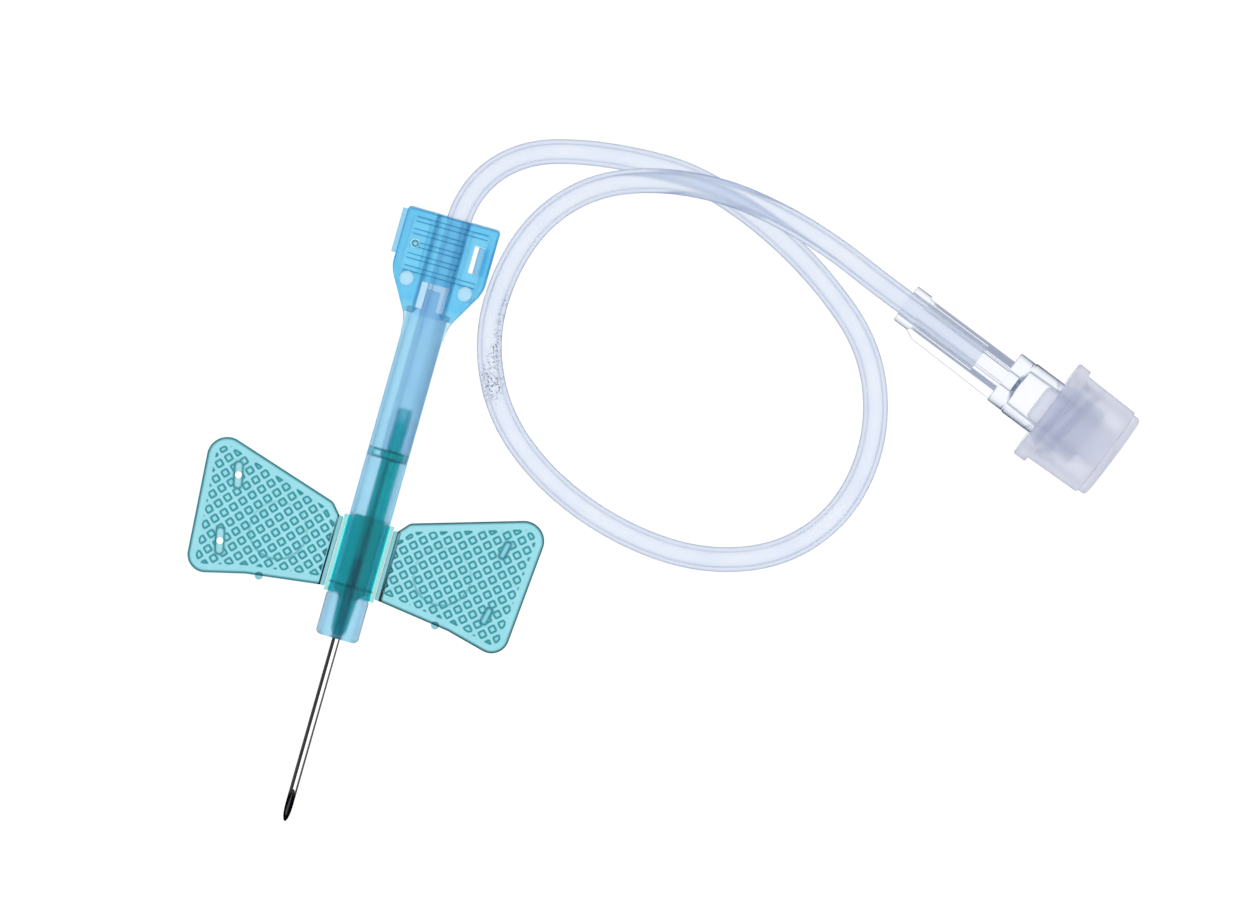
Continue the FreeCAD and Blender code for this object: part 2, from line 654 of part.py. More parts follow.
def make_sheath():
    """Slotted barrel, latch tongue and lower half of the grip, moulded in one."""
    ring = doc.addObject("PartDesign::Body", "sheath_ring")
    turned = revolve(ring, "sheath_ring_turned", [
        ("0", "-sheath_lead"),
        ("ring_diameter / 2", "-sheath_lead"),
        ("ring_diameter / 2", SLOT_FRONT),
        ("0", SLOT_FRONT),
    ])
    lead = size("sheath_lead")
    rim = edges_of(turned, lambda edge, middle: abs(middle.y + lead) < 1e-4)
    dress(ring, "sheath_rim", "Fillet", turned, rim, "Radius", "ring_round")
    barrel = rod("sheath_barrel", "0", "0", BARREL_END, "0", "sheath_diameter")
    block = grip_block("sheath_grip", GRIP_REAR, "0 - grip_half_thickness", "0", -size("grip_half_thickness"))
    slope = slope_tool("sheath_slope", "%s - flare_lead" % COVER_FRONT, "0 - slope_height",
                       -size("slope_angle"), -1)
    hollow = cut("sheath_grip_hollow", block, slope,
                 *pockets("sheath", "cover_wall - grip_half_thickness", "past"))
    tongue_bar = rod("tongue_bar", "0", BARREL_END + " - sunk", BARREL_END + " + tongue_length", "0",
                     "sheath_diameter")
    tongue_field = box("tongue_field", ("-tongue_width / 2", BARREL_END + " - sunk", "0"),
                       ("tongue_width / 2", BARREL_END + " + tongue_length", "sheath_diameter"))
    tongue = common("tongue", tongue_bar, tongue_field)
    floor = "sunk - grip_half_thickness"
    flush = "grip_half_thickness"
    posts = []
    for name, side in (("right", ""), ("left", "-")):
        posts.append(post("sheath_post_" + name, side + "post_offset", COVER_FRONT + " + post_back", floor,
                          flush, "post_diameter"))
    pin = post("sheath_pin", "-pin_offset", COVER_FRONT + " + pin_back", floor, flush + " - pin_short",
               "pin_diameter")
    hook_along = "(%s + hook_back)" % COVER_FRONT
    hook = box("sheath_hook", ("hook_offset - hook_width / 2", hook_along + " - hook_length / 2", floor),
               ("hook_offset + hook_width / 2", hook_along + " + hook_length / 2", flush + " - hook_short"))
    strap = box("sheath_strap", ("0 - grip_half_width - strap_width", COVER_FRONT + " + strap_front",
                                 "-strap_height / 2"),
                ("0 - grip_half_width", COVER_FRONT + " + strap_front + strap_length", "strap_height / 2"))
    whole = fuse("sheath_whole", ring, barrel, hollow, tongue, pin, hook, strap, *posts,
                 *ribs("sheath", "0 - grip_half_thickness - rib_height", floor))
    bore = rod("sheath_bore", "0", "0 - sheath_lead - past", GRIP_REAR + " + past", "0", "sheath_bore")
    slots = box("sheath_slots", ("0 - grip_half_width", SLOT_FRONT, "-slot_height / 2"),
                ("grip_half_width", COVER_FRONT, "slot_height / 2"))
    slit = box("sheath_slit",
               ("hook_offset - hook_width / 2 - hook_slit", hook_along + " - hook_length / 2", "-past"),
               ("hook_offset - hook_width / 2", hook_along + " + hook_length / 2", "0"))
    return label(cut("sheath_open", whole, bore, slots, slit), "sheath")


def make_cover():
    """Upper half of the grip, with its window, rib field, holes for the posts and the snap opening."""
    rear = "%s - cover_setback" % GRIP_REAR
    block = grip_block("cover_grip", rear, "0", "grip_half_thickness", size("grip_half_thickness"))
    top = "grip_half_thickness"
    slope = slope_tool("cover_slope", COVER_FRONT, "slope_height", size("slope_angle"), 1)
    block = cut("cover_sloped", block, slope)
    whole = fuse("cover_whole", block, *ribs("cover", top + " - sunk", top + " + rib_height"))
    tools = pockets("cover", "-past", top + " - cover_wall")
    tools.append(box("cover_front", ("-past", "0", "-past"), ("past", COVER_FRONT, "past")))
    tools.append(rod("cover_channel", "0", "0", GRIP_REAR + " + past", "0", "sheath_bore"))
    tools.append(rod("cover_barrel", "0", "0", BARREL_END + " + cover_clearance", "0",
                     "sheath_diameter + 2 * cover_clearance"))
    tools.append(box("cover_window", ("-window_width / 2", BARREL_END, "0"),
                     ("window_width / 2", BARREL_END + " + window_length", "past")))
    hole = "post_diameter + 2 * cover_clearance"
    for name, side in (("right", ""), ("left", "-")):
        tools.append(post("cover_hole_" + name, side + "post_offset", COVER_FRONT + " + post_back", "-past",
                          "past", hole))
    tools.append(post("cover_pin_hole", "-pin_offset", COVER_FRONT + " + pin_back", "-past", "past",
                      "pin_diameter + 2 * cover_clearance"))
    hook_along = "(%s + hook_back)" % COVER_FRONT
    tools.append(box("cover_snap", ("hook_offset - hook_width / 2 - hook_slit",
                                    hook_along + " - hook_length / 2 - cover_clearance", "-past"),
                     ("hook_offset + hook_width / 2 + cover_clearance",
                      hook_along + " + hook_length / 2 + cover_clearance", "past")))
    return label(cut("cover_open", whole, *tools), "grip_cover")


# Connector and cap

def connector_placement():
    """The connector lies level: the flange of its cap rests on the same surface as the ribs of the grip."""
    floor = -size("grip_half_thickness") - size("rib_height")
    height = floor + size("cap_flange_diameter") / 2
    turn = Rotation(Vector(0, 0, 1), CONNECTOR_HEADING - 90)
    return Placement(Vector(CONNECTOR_PLACE[0], CONNECTOR_PLACE[1], height), turn)


def make_connector():
    """Tube socket, four ribs, ring and barrel with a conical socket and two thread lugs."""
    socket = "(tube_diameter / 2 + fit_gap)"
    cone_end = "(connector_length - cone_depth)"
    body = doc.addObject("PartDesign::Body", "connector_body")
    revolve(body, "connector_turned", [
        (socket, "0"),
        ("connector_collar_diameter / 2", "0"),
        ("connector_collar_diameter / 2", "connector_collar_length"),
        ("connector_core_diameter / 2", "connector_collar_length + connector_bevel"),
        ("connector_core_diameter / 2", "connector_ring_start"),
        ("connector_ring_diameter / 2", "connector_ring_start"),
        ("connector_ring_diameter / 2", "connector_ring_start + connector_ring_length"),
        ("connector_barrel_diameter / 2",
         "connector_ring_start + connector_ring_length + connector_bevel / 2"),
        ("connector_barrel_diameter / 2", "connector_length"),
        ("cone_mouth_diameter / 2", "connector_length"),
        ("(cone_mouth_diameter - cone_taper * cone_depth) / 2", cone_end),
        ("connector_flow_diameter / 2", cone_end + " - connector_flow_diameter / 3"),
        ("connector_flow_diameter / 2", "tube_socket_depth"),
        (socket, "tube_socket_depth"),
    ])
    for role in ("XY_Plane", "YZ_Plane"):
        across = "connector_rib_diameter / 2"
        wide = "connector_rib_end_diameter / 2"
        inner = "(connector_core_diameter / 2 - 2 * sunk)"
        start = "connector_collar_length"
        for name, side in (("plus", ""), ("minus", "-")):
            corners = [
                ("%s(%s)" % (side, inner), start),
                ("%s(%s)" % (side, inner), "connector_ring_start + sunk"),
                ("%s(%s)" % (side, wide), "connector_ring_start + sunk"),
                ("%s(%s)" % (side, across), start + " + connector_rib_ramp"),
                ("%s(connector_collar_diameter / 2)" % side, start),
            ]
            if role == "YZ_Plane":
                corners = [(along, radius) for radius, along in corners]
            web = outline(body, "rib_outline_%s_%s" % (role[:2], name), corners, role)
            pad(body, "rib_%s_%s" % (role[:2], name), web, "-connector_rib_width / 2",
                "connector_rib_width / 2")
    lug_band = rod("lug_band", "0", "connector_length - lug_length - lug_setback",
                   "connector_length - lug_setback", "0", "lug_diameter")
    lug_field = box("lug_field", ("-lug_width / 2", "0", "-lug_diameter"),
                    ("lug_width / 2", "connector_length", "lug_diameter"))
    lug_core = rod("lug_core", "0", "0", "connector_length + past", "0",
                   "connector_barrel_diameter - 2 * sunk")
    lugs = cut("lugs", common("lug_pair", lug_band, lug_field), lug_core)
    whole = fuse("connector_whole", body, lugs)
    whole.Placement = connector_placement()
    return label(whole, "connector")


def make_cap():
    """Skirt with a rim flange, closed end, and a plug that seals the conical socket."""
    wall = "(cap_length - cap_wall)"
    plug_end = "(connector_length - cap_start - plug_length)"
    mouth = "(connector_length - cap_start)"
    root = "(cone_mouth_diameter / 2 - plug_clearance)"
    body = doc.addObject("PartDesign::Body", "cap_body")
    revolve(body, "cap_turned", [
        ("cap_bore / 2", "0"),
        ("cap_flange_diameter / 2", "0"),
        ("cap_flange_diameter / 2", "cap_flange_length"),
        ("cap_diameter / 2", "cap_flange_length"),
        ("cap_end_diameter / 2", "cap_length - cap_step_length"),
        ("cap_step_diameter / 2", "cap_length - cap_step_length"),
        ("cap_step_diameter / 2", "cap_length - cap_edge"),
        ("cap_step_diameter / 2 - cap_edge", "cap_length"),
        ("0", "cap_length"),
        ("0", plug_end),
        (root + " - cone_taper * plug_length / 2 - plug_lead", plug_end),
        (root + " - cone_taper * plug_length / 2", plug_end + " + plug_lead"),
        (root, mouth),
        (root, wall),
        ("cap_bore / 2", wall),
    ])
    seat = connector_placement()
    along = seat.Rotation.multVec(Vector(0, size("cap_start"), 0))
    body.Placement = Placement(seat.Base + along, seat.Rotation)
    return label(body, "connector_cap")


# Tube

def tube_route():
    """All points of the tube, from its seat on the hub through the grip and the loop to the connector."""
    offset = size("tail_offset")
    seat = connector_placement()
    out = size("root_rear") + size("travel") + size("slide_gap") + size("grip_length")
    points = [Vector(offset, size("tube_seat"), 0), Vector(offset, out + size("tube_lead_out"), 0)]
    points += [Vector(*point) for point in TUBE_POINTS]
    for along in (-size("tube_lead_in"), size("tube_socket_depth")):
        points.append(seat.multVec(Vector(0, along, 0)))
    return points


def tube_path(points):
    """Straight runs joined by tangent arcs, each as large as its two runs allow."""
    edges = []
    start = points[0]
    radii = []
    for before, corner, after in zip(points, points[1:], points[2:]):
        into = (corner - before).normalize()
        out = (after - corner).normalize()
        turn = into.getAngle(out)
        cutback = 0.45 * min(corner.distanceToPoint(before), corner.distanceToPoint(after))
        first = corner - into * cutback
        last = corner + out * cutback
        radius = cutback / math.tan(turn / 2)
        inward = (out - into).normalize()
        centre = corner + inward * math.hypot(radius, cutback)
        middle = centre - inward * radius
        edges.append(Part.LineSegment(start, first).toShape())
        edges.append(Part.Arc(first, middle, last).toShape())
        start = last
        radii.append(radius)
    edges.append(Part.LineSegment(start, points[-1]).toShape())
    return Part.Wire(edges), radii


def make_tube():
    """A round section carried along the route, less the same path's bore."""
    points = tube_route()
    path, radii = tube_path(points)
    shapes = []
    for diameter in (size("tube_diameter"), size("tube_bore")):
        circle = Part.makeCircle(diameter / 2, points[0], points[1] - points[0])
        shapes.append(path.makePipeShell([Part.Wire(circle)], True, False))
    solid = shapes[0].cut(shapes[1])
    section = math.pi / 4 * (size("tube_diameter") ** 2 - size("tube_bore") ** 2)
    print("tube length %.1f, volume against section times length %.4f"
          % (path.Length, solid.Volume / section / path.Length))
    print("tube radii", " ".join("%.1f" % radius for radius in radii))
    tube = doc.addObject("Part::Feature", "tube_solid")
    tube.Shape = solid
    return label(tube, "tube")


nodes = [
    make_needle(),
    make_hub(),
    make_wing("wing_right", 1),
    make_wing("wing_left", -1),
    make_sheath(),
    make_cover(),
    make_tube(),
    make_connector(),
    make_cap(),
]
doc.recompute()

failed = [thing.Label for thing in doc.Objects if {"Invalid", "Error"} & set(thing.State)]
if failed:
    raise RuntimeError("failed features: " + ", ".join(failed))
for node in nodes:
    if node.Shape.isNull() or not node.Shape.isValid() or len(node.Shape.Solids) != 1:
        raise RuntimeError("%s is not one valid solid" % node.Label)

os.makedirs("parts", exist_ok=True)
for node in nodes:
    node.Shape.exportStep("parts/%s.step" % node.Label)
    bounds = node.Shape.BoundBox
    print("%-14s volume %8.2f  x %.2f..%.2f  y %.2f..%.2f  z %.2f..%.2f" % (
        node.Label, node.Shape.Volume, bounds.XMin, bounds.XMax, bounds.YMin, bounds.YMax,
        bounds.ZMin, bounds.ZMax))
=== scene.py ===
"""Dresses the packed model of a winged infusion needle set and lights it on a pale table.

The sheath, grip cover, hub, connector, cap and needle keep the packed shapes with smooth shading. The wings,
the tube and the thread in the cap are made here. All lengths are in metres, in the frame of the packed model.
"""

import json
import math

import bmesh
import bpy
import numpy as np
from bpy.props import FloatProperty, FloatVectorProperty, IntProperty, PointerProperty
from bpy.types import Operator, Panel, PropertyGroup
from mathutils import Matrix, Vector


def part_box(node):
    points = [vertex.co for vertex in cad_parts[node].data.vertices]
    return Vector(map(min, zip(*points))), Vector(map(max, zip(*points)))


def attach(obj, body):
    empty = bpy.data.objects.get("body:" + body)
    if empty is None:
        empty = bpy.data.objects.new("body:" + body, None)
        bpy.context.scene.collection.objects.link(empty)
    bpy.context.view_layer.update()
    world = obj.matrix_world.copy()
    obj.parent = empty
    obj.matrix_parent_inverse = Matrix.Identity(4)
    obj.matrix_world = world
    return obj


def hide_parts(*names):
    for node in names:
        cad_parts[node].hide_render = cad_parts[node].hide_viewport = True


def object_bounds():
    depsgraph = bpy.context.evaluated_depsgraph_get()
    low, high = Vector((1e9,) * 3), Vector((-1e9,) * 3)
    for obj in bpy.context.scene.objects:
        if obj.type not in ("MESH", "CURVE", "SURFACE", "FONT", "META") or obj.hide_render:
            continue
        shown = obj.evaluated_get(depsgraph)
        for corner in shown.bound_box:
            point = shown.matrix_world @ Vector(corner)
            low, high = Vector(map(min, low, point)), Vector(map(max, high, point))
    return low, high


bl_info = {
    "name": "Winged Needle Set",
    "version": (1, 0, 0),
    "blender": (4, 5, 0),
    "location": "View3D > Sidebar > Needle Set",
    "description": "Finishes, wings, tube and stage for a winged infusion needle set",
    "category": "Object",
}

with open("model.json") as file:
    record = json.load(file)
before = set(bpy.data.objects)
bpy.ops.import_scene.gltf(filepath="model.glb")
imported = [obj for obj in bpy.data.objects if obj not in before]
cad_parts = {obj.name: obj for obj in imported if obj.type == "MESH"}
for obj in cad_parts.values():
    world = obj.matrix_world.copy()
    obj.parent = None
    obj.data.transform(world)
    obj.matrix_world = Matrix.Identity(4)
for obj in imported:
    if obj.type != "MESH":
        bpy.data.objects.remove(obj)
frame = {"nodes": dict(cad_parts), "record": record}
CAD_BOX = [list(corner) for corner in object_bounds()]

MM = 0.001
WHITE = (1, 1, 1, 1)
FLOOR = CAD_BOX[0][2]
SOCKET = next(mount for mount in frame["record"]["mounts"] if mount["name"] == "connector_socket")
CONNECTOR_AXIS = Vector(SOCKET["axis"])
CONNECTOR_MOUTH = Vector(SOCKET["pos_m"])

# The tube's route, the same points as in the part's source, with one more point near each end, where the
# run inside the sheath and the run inside the connector are long beside their neighbours.
TUBE_START = (0.00045, 0.0194, 0.0)
TUBE_FREE = [
    (0.00045, 0.0413, 0.0),
    (0.00045, 0.0456, 0.0),
    (0.0022, 0.0495, -0.00035),
    (0.0055, 0.0523, -0.0009),
    (0.0099, 0.0537, -0.0013),
    (0.0155, 0.0545, -0.00138),
    (0.0219, 0.0546, -0.00138),
    (0.0295, 0.0523, -0.00138),
    (0.0372, 0.0482, -0.00138),
    (0.0441, 0.0425, -0.00138),
    (0.0471, 0.0345, -0.00138),
    (0.0461, 0.0262, -0.00138),
    (0.0412, 0.0200, -0.00138),
    (0.0333, 0.0171, -0.00138),
    (0.0244, 0.0177, -0.00138),
    (0.0160, 0.0208, -0.00138),
    (0.0096, 0.0259, -0.00138),
    (0.0063, 0.0328, -0.00138),
    (0.0062, 0.0397, -0.00138),
    (0.0082, 0.0461, -0.00138),
    (0.0125, 0.0508, -0.0006),
    (0.0186, 0.0532, 0.00135),
    (0.0256, 0.0539, 0.0018),
    (0.0322, 0.0529, 0.0021),
    (0.0379, 0.0512, 0.00265),
]


def length_setting(name, description, default):
    """A length in metres that a user can change."""
    return FloatProperty(name=name, description=description, default=default, unit="LENGTH", precision=5)


def colour_setting(name, description, default):
    """A colour that a user can change."""
    return FloatVectorProperty(name=name, description=description, default=default, subtype="COLOR",
                               size=3, min=0.0, max=1.0)


class PlasticColours(PropertyGroup):
    """What white light turns into in each plastic: over the depth beside it, and at each face. The painted
    light and painted shade are noted beside them.
    """

    wing: colour_setting("Wing", "Light through the plate of a wing", (0.80, 0.93, 0.95))
    wing_depth: length_setting("Wing depth", "Depth at which the wing has its colour", 0.0008)
    wing_skin: colour_setting("Wing skin", "Tint of each face of a wing", (0.415, 0.80, 0.87))
    # Painted shade along the sides of the pads, pegs and slots, the mould mark, the rim and the fold.
    wing_painted_shade: colour_setting("Wing line", "Tint along the sides of the pads", (0.0, 0.15, 0.175))
    hub: colour_setting("Hub", "Light through the body of the hub", (0.05, 0.42, 0.39))
    hub_skin: colour_setting("Hub skin", "Tint of the hub's solid middle", (0.02, 0.84, 0.79))
    # Painted light on the left of the hub's body.
    hub_left_painted_light: colour_setting("Hub left", "Tint of the left side of the hub's body", (0.03, 0.99, 0.95))
    # Painted shade in the nose cone.
    hub_nose_painted_shade: colour_setting("Hub nose", "Tint of the nose cone", (0.0, 0.64, 0.62))
    # Painted shade along the bore.
    hub_bore_painted_shade: colour_setting("Hub core", "Tint along the bore", (0.0, 0.56, 0.56))
    hub_web: colour_setting("Hub web", "Tint of the thin webs beside the wings", (0.88, 0.97, 0.97))
    # Painted shade along the steps of the hub.
    hub_step_painted_shade: colour_setting("Hub line", "Tint along the steps of the hub", (0.0, 0.25, 0.3))
    hub_depth: length_setting("Hub depth", "Depth at which the hub has its colour", 0.0026)
    sheath: colour_setting("Sheath", "Light through the thick places of the sheath", (0.85, 0.94, 0.985))
    strap: colour_setting("Strap", "Tint of the folded strap and the hook", (0.34, 0.68, 0.90))
    window: colour_setting("Window", "Tint of the walls in and under the window", (0.56, 0.79, 0.945))
    # Painted shade round the tip of the pin.
    pin_painted_shade: colour_setting("Pin line", "Tint round the tip of the pin", (0.03, 0.30, 0.38))
    sheath_depth: length_setting("Sheath depth", "Depth at which the sheath has its colour", 0.0025)
    sheath_skin: colour_setting("Sheath skin", "Tint of each wall of the sheath", (0.645, 0.875, 0.985))
    cover: colour_setting("Cover", "Light through the thick places of the cover", (0.82, 0.94, 0.985))
    cover_depth: length_setting("Cover depth", "Depth at which the cover has its colour", 0.0025)
    cover_skin: colour_setting("Cover skin", "Tint of each wall of the cover", (0.37, 0.80, 0.98))
    # Painted light that lifts the shade at the cover's front.
    cover_front_painted_light: colour_setting("Cover front", "Tint of each wall at the cover's front", (0.5, 0.86, 0.98))
    # Painted shade along the finger ribs and the rim.
    cover_painted_shade: colour_setting("Cover line", "Tint along the sides of the finger ribs", (0.08, 0.40, 0.62))
    tube: colour_setting("Tube", "Light through both walls of the tube", (0.83, 0.875, 0.945))
    tube_depth: length_setting("Tube depth", "Depth at which the tube has its colour", 0.0012)
    tube_dot: colour_setting("Tube dots", "Tint of the stipple on the tube's matte patch", (0.16, 0.18, 0.24))
    connector: colour_setting("Connector", "Light through the clear connector", (0.96, 0.975, 0.99))
    connector_depth: length_setting("Connector depth", "Depth at which the connector has its colour", 0.003)
    cap: colour_setting("Cap", "Light through the frosted cap", (0.93, 0.93, 0.955))
    cap_depth: length_setting("Cap depth", "Depth at which the cap has its colour", 0.0025)


class TubeSizes(PropertyGroup):
    """Section of the tube, and the steps of its mesh."""

    outside: length_setting("Outside", "Outside diameter", 0.0025)
    bore: length_setting("Bore", "Inside diameter", 0.0015)
    around: IntProperty(name="Around", description="Points round the section", default=64, min=12)
    steps: IntProperty(name="Steps", description="Mesh steps to each point of the route", default=16, min=2)


class WingSizes(PropertyGroup):
    """Outline and relief of a wing. Along is measured on the needle axis, out from the needle axis."""

    inner: length_setting("Inner edge", "Inner edge of the plate, out", 0.00305)
    front: length_setting("Front", "Front end of the inner edge, along", 0.0045)
    rear: length_setting("Rear", "Rear end of the inner edge, along", 0.01175)
    kink_out: length_setting("Bend out", "Bend of the front edge, out", 0.0106)
    kink_along: length_setting("Bend along", "Bend of the front edge, along", 0.0035)
    tip_out: length_setting("Tip out", "Front tip corner, out", 0.01665)
    tip_front: length_setting("Tip front", "Front tip corner, along", 0.002)
    tip_rear_out: length_setting("Rear tip out", "Rear tip corner, out", 0.01785)
    tip_rear: length_setting("Rear tip", "Rear tip corner, along", 0.01715)
    shoulder_out: length_setting("Shoulder out", "Shoulder of the rear edge, out", 0.00405)
    shoulder_along: length_setting("Shoulder along", "Shoulder of the rear edge, along", 0.0129)
    half: length_setting("Half thickness", "Half of the plate's thickness", 0.0004)
    edge: length_setting("Edge", "Radius of the plate's edges", 0.00022)
    pad_pitch: length_setting("Pad pitch", "Grip pads, centre to centre", 0.001114)
    pad_half: length_setting("Pad half", "Half of a grip pad's side", 0.00035)
    pad_corner: length_setting("Pad corner", "Corner radius of a grip pad", 0.00013)
    pad_height: length_setting("Pad height", "Grip pad above the plate", 0.0002)
    pad_slope: length_setting("Pad slope", "Width of a pad's sloping side", 0.0001)
    pad_inset: length_setting("Pad inset", "Pad field from the edge of the plate", 0.00092)
    hinge_inset: length_setting("Hinge inset", "Pad field from the inner edge", 0.0003)
    phase_out: length_setting("First pad out", "One pad's centre, out", 0.01598)
    phase_along: length_setting("First pad along", "The same pad's centre, along", 0.01035)
    lean: FloatProperty(name="Lean", description="Pad rows lean outwards", default=math.radians(2.75),
                        subtype="ANGLE")
    peg_out: length_setting("Peg out", "Pegs and slots, out", 0.014)
    peg_rear: length_setting("Rear peg", "Rear peg and slot, along", 0.0129)
    peg_front: length_setting("Front peg", "Front peg and slot, along", 0.006)
    peg_length: length_setting("Peg length", "Peg, long way", 0.0019)
    peg_width: length_setting("Peg width", "Peg, short way", 0.00072)
    peg_height: length_setting("Peg height", "Peg above the plate", 0.00075)
    peg_lean: FloatProperty(name="Peg lean", description="Pegs and slots lean", default=math.radians(12),
                            subtype="ANGLE")
    slot_margin: length_setting("Slot margin", "Slot beyond the peg at each end", 0.00045)
    slot_gap: length_setting("Slot gap", "Slot beside the peg", 0.0001)
    slot_depth: length_setting("Slot depth", "Slot into the plate", 0.00045)
    hole: length_setting("Hole", "Hole through the floor of a slot", 0.0007)
    mark_out: length_setting("Mark out", "Centre of the round mould mark, out", 0.0086)
    mark_along: length_setting("Mark along", "Centre of the round mould mark, along", 0.0086)
    mark_radius: length_setting("Mark radius", "Round mould mark", 0.0029)
    mark_depth: length_setting("Mark depth", "Groove of the mould mark", 0.00006)
    # The dark lines are painted shade.
    line: length_setting("Line", "Width of the dark line round a pad", 0.00013)
    rim_shade_width: length_setting("Rim line", "Width of the dark line along the rim", 0.00022)
    bead: length_setting("Bead", "Radius of the bead along the fold", 0.00025)
    fold_out: length_setting("Fold", "Fold line, out", 0.0029)
    gate_out: length_setting("Gate out", "Moulding gate stub, out", 0.00925)
    gate_along: length_setting("Gate along", "Moulding gate stub, along", 0.00368)
    gate_radius: length_setting("Gate radius", "Moulding gate stub", 0.0004)
    gate_half: length_setting("Gate half", "Half height of the gate stub", 0.000225)
    steps_out: IntProperty(name="Steps out", description="Mesh steps out along a wing", default=316, min=20)
    steps_along: IntProperty(name="Steps along", description="Mesh steps along the axis", default=276, min=20)


class ThreadSizes(PropertyGroup):
    """The thread inside the cap."""

    radius: length_setting("Radius", "Inside of the cap's skirt", 0.0041)
    height: length_setting("Height", "Thread above the inside of the skirt", 0.00011)
    width: length_setting("Width", "Foot of the thread", 0.0009)
    pitch: length_setting("Pitch", "Advance for each turn", 0.0028)
    start: length_setting("Start", "Start of the thread behind the connector's mouth", -0.0042)
    turns: FloatProperty(name="Turns", description="Turns of each start", default=0.9, min=0.1)


class StageSizes(PropertyGroup):
    """Camera, floor and light."""

    centre_x: length_setting("Centre x", "Middle of the picture", 0.022863)
    centre_y: length_setting("Centre y", "Middle of the picture", 0.026047)
    centre_z: length_setting("Centre z", "Height at which the picture's scale is true", 0.0)
    width: length_setting("Width", "What the picture shows, side to side", 0.12626)
    roll: FloatProperty(name="Roll", description="Turn of the camera about its axis",
                        default=math.radians(15.8), subtype="ANGLE")
    lens: FloatProperty(name="Lens", description="Focal length of the camera", default=0.3, unit="CAMERA")
    floor_radius: length_setting("Floor radius", "Radius of the floor", 3.0)
    glow: FloatProperty(name="Glow", description="Light of the table, straight up", default=1.02, min=0.0)
    film_full: FloatProperty(name="Film full", description="Slant, one less its cosine, up to which the "
                             "table gives its whole light", default=0.03, min=0.0)
    film_none: FloatProperty(name="Film end", description="Slant, one less its cosine, from which the table "
                             "gives its least light", default=0.35, min=0.0)
    film_floor: FloatProperty(name="Film least", description="Least light of the table", default=0.52,
                              min=0.0)
    bounce: FloatProperty(name="Bounce", description="Light of the table in reflections", default=0.04,
                          min=0.0)
    film_tint: colour_setting("Film tint", "Colour of the table's slanted light", (0.72, 0.80, 1.0))
    haze: colour_setting("Haze", "Surroundings seen through clear plastic", (0.52, 0.57, 0.72))
    sky: FloatProperty(name="Sky", description="Light from straight above", default=1.5, min=0.0)
    sky_lean: FloatProperty(name="Sky lean", description="Lean of the light above, away from the left wing",
                            default=math.radians(20), subtype="ANGLE")
    sky_across: FloatProperty(name="Sky across", description="Edge of the light above, across the needle",
                              default=math.radians(38), subtype="ANGLE")
    sky_along: FloatProperty(name="Sky along", description="Edge of the light above, along the needle",
                             default=math.radians(13), subtype="ANGLE")
    sky_back: FloatProperty(name="Sky back", description="Lean of the light above, away from the needle tip",
                            default=math.radians(3), subtype="ANGLE")
    horizon: FloatProperty(name="Horizon", description="Light from the surroundings", default=0.04, min=0.0)
    backdrop: FloatProperty(name="Backdrop", description="Backdrop behind the table", default=0.95, min=0.0)


# Meshes

def place(name, data):
    """An object at the origin that shows a mesh, a light or a camera."""
    thing = bpy.data.objects.new(name, data)
    bpy.context.scene.collection.objects.link(thing)
    return thing


def make_object(name, points, faces, smooth=True):
    """A mesh object at the origin, from points and faces given as arrays or lists."""
    mesh = bpy.data.meshes.new(name)
    mesh.from_pydata([tuple(point) for point in np.asarray(points, float).tolist()], [],
                     [tuple(face) for face in (faces.tolist() if hasattr(faces, "tolist") else faces)])
    mesh.update()
    if smooth:
        mesh.shade_smooth()
    return place(name, mesh)


def grid_faces(rows, columns, closed_columns=False, offset=0):
    """Quads of a grid whose points run along the columns first, which may join their last to their first."""
    row = np.arange(rows - 1)
    column = np.arange(columns if closed_columns else columns - 1)
    r, c = (side.ravel() for side in np.meshgrid(row, column, indexing="ij"))
    r1, c1 = r + 1, (c + 1) % columns
    return np.stack([r * columns + c, r1 * columns + c, r1 * columns + c1, r * columns + c1], 1) + offset


def face_list(faces):
    """Faces of an array as a list, to which a face with more corners can be added."""
    return [tuple(face) for face in faces.tolist()]


def add_uv(mesh, u, v):
    """A UV map from one pair of numbers for each point."""
    layer = mesh.uv_layers.new(name="UVMap")
    corner = np.empty(len(mesh.loops), np.int32)
    mesh.loops.foreach_get("vertex_index", corner)
    layer.data.foreach_set("uv", np.stack([u[corner], v[corner]], 1).astype(np.float32).ravel())


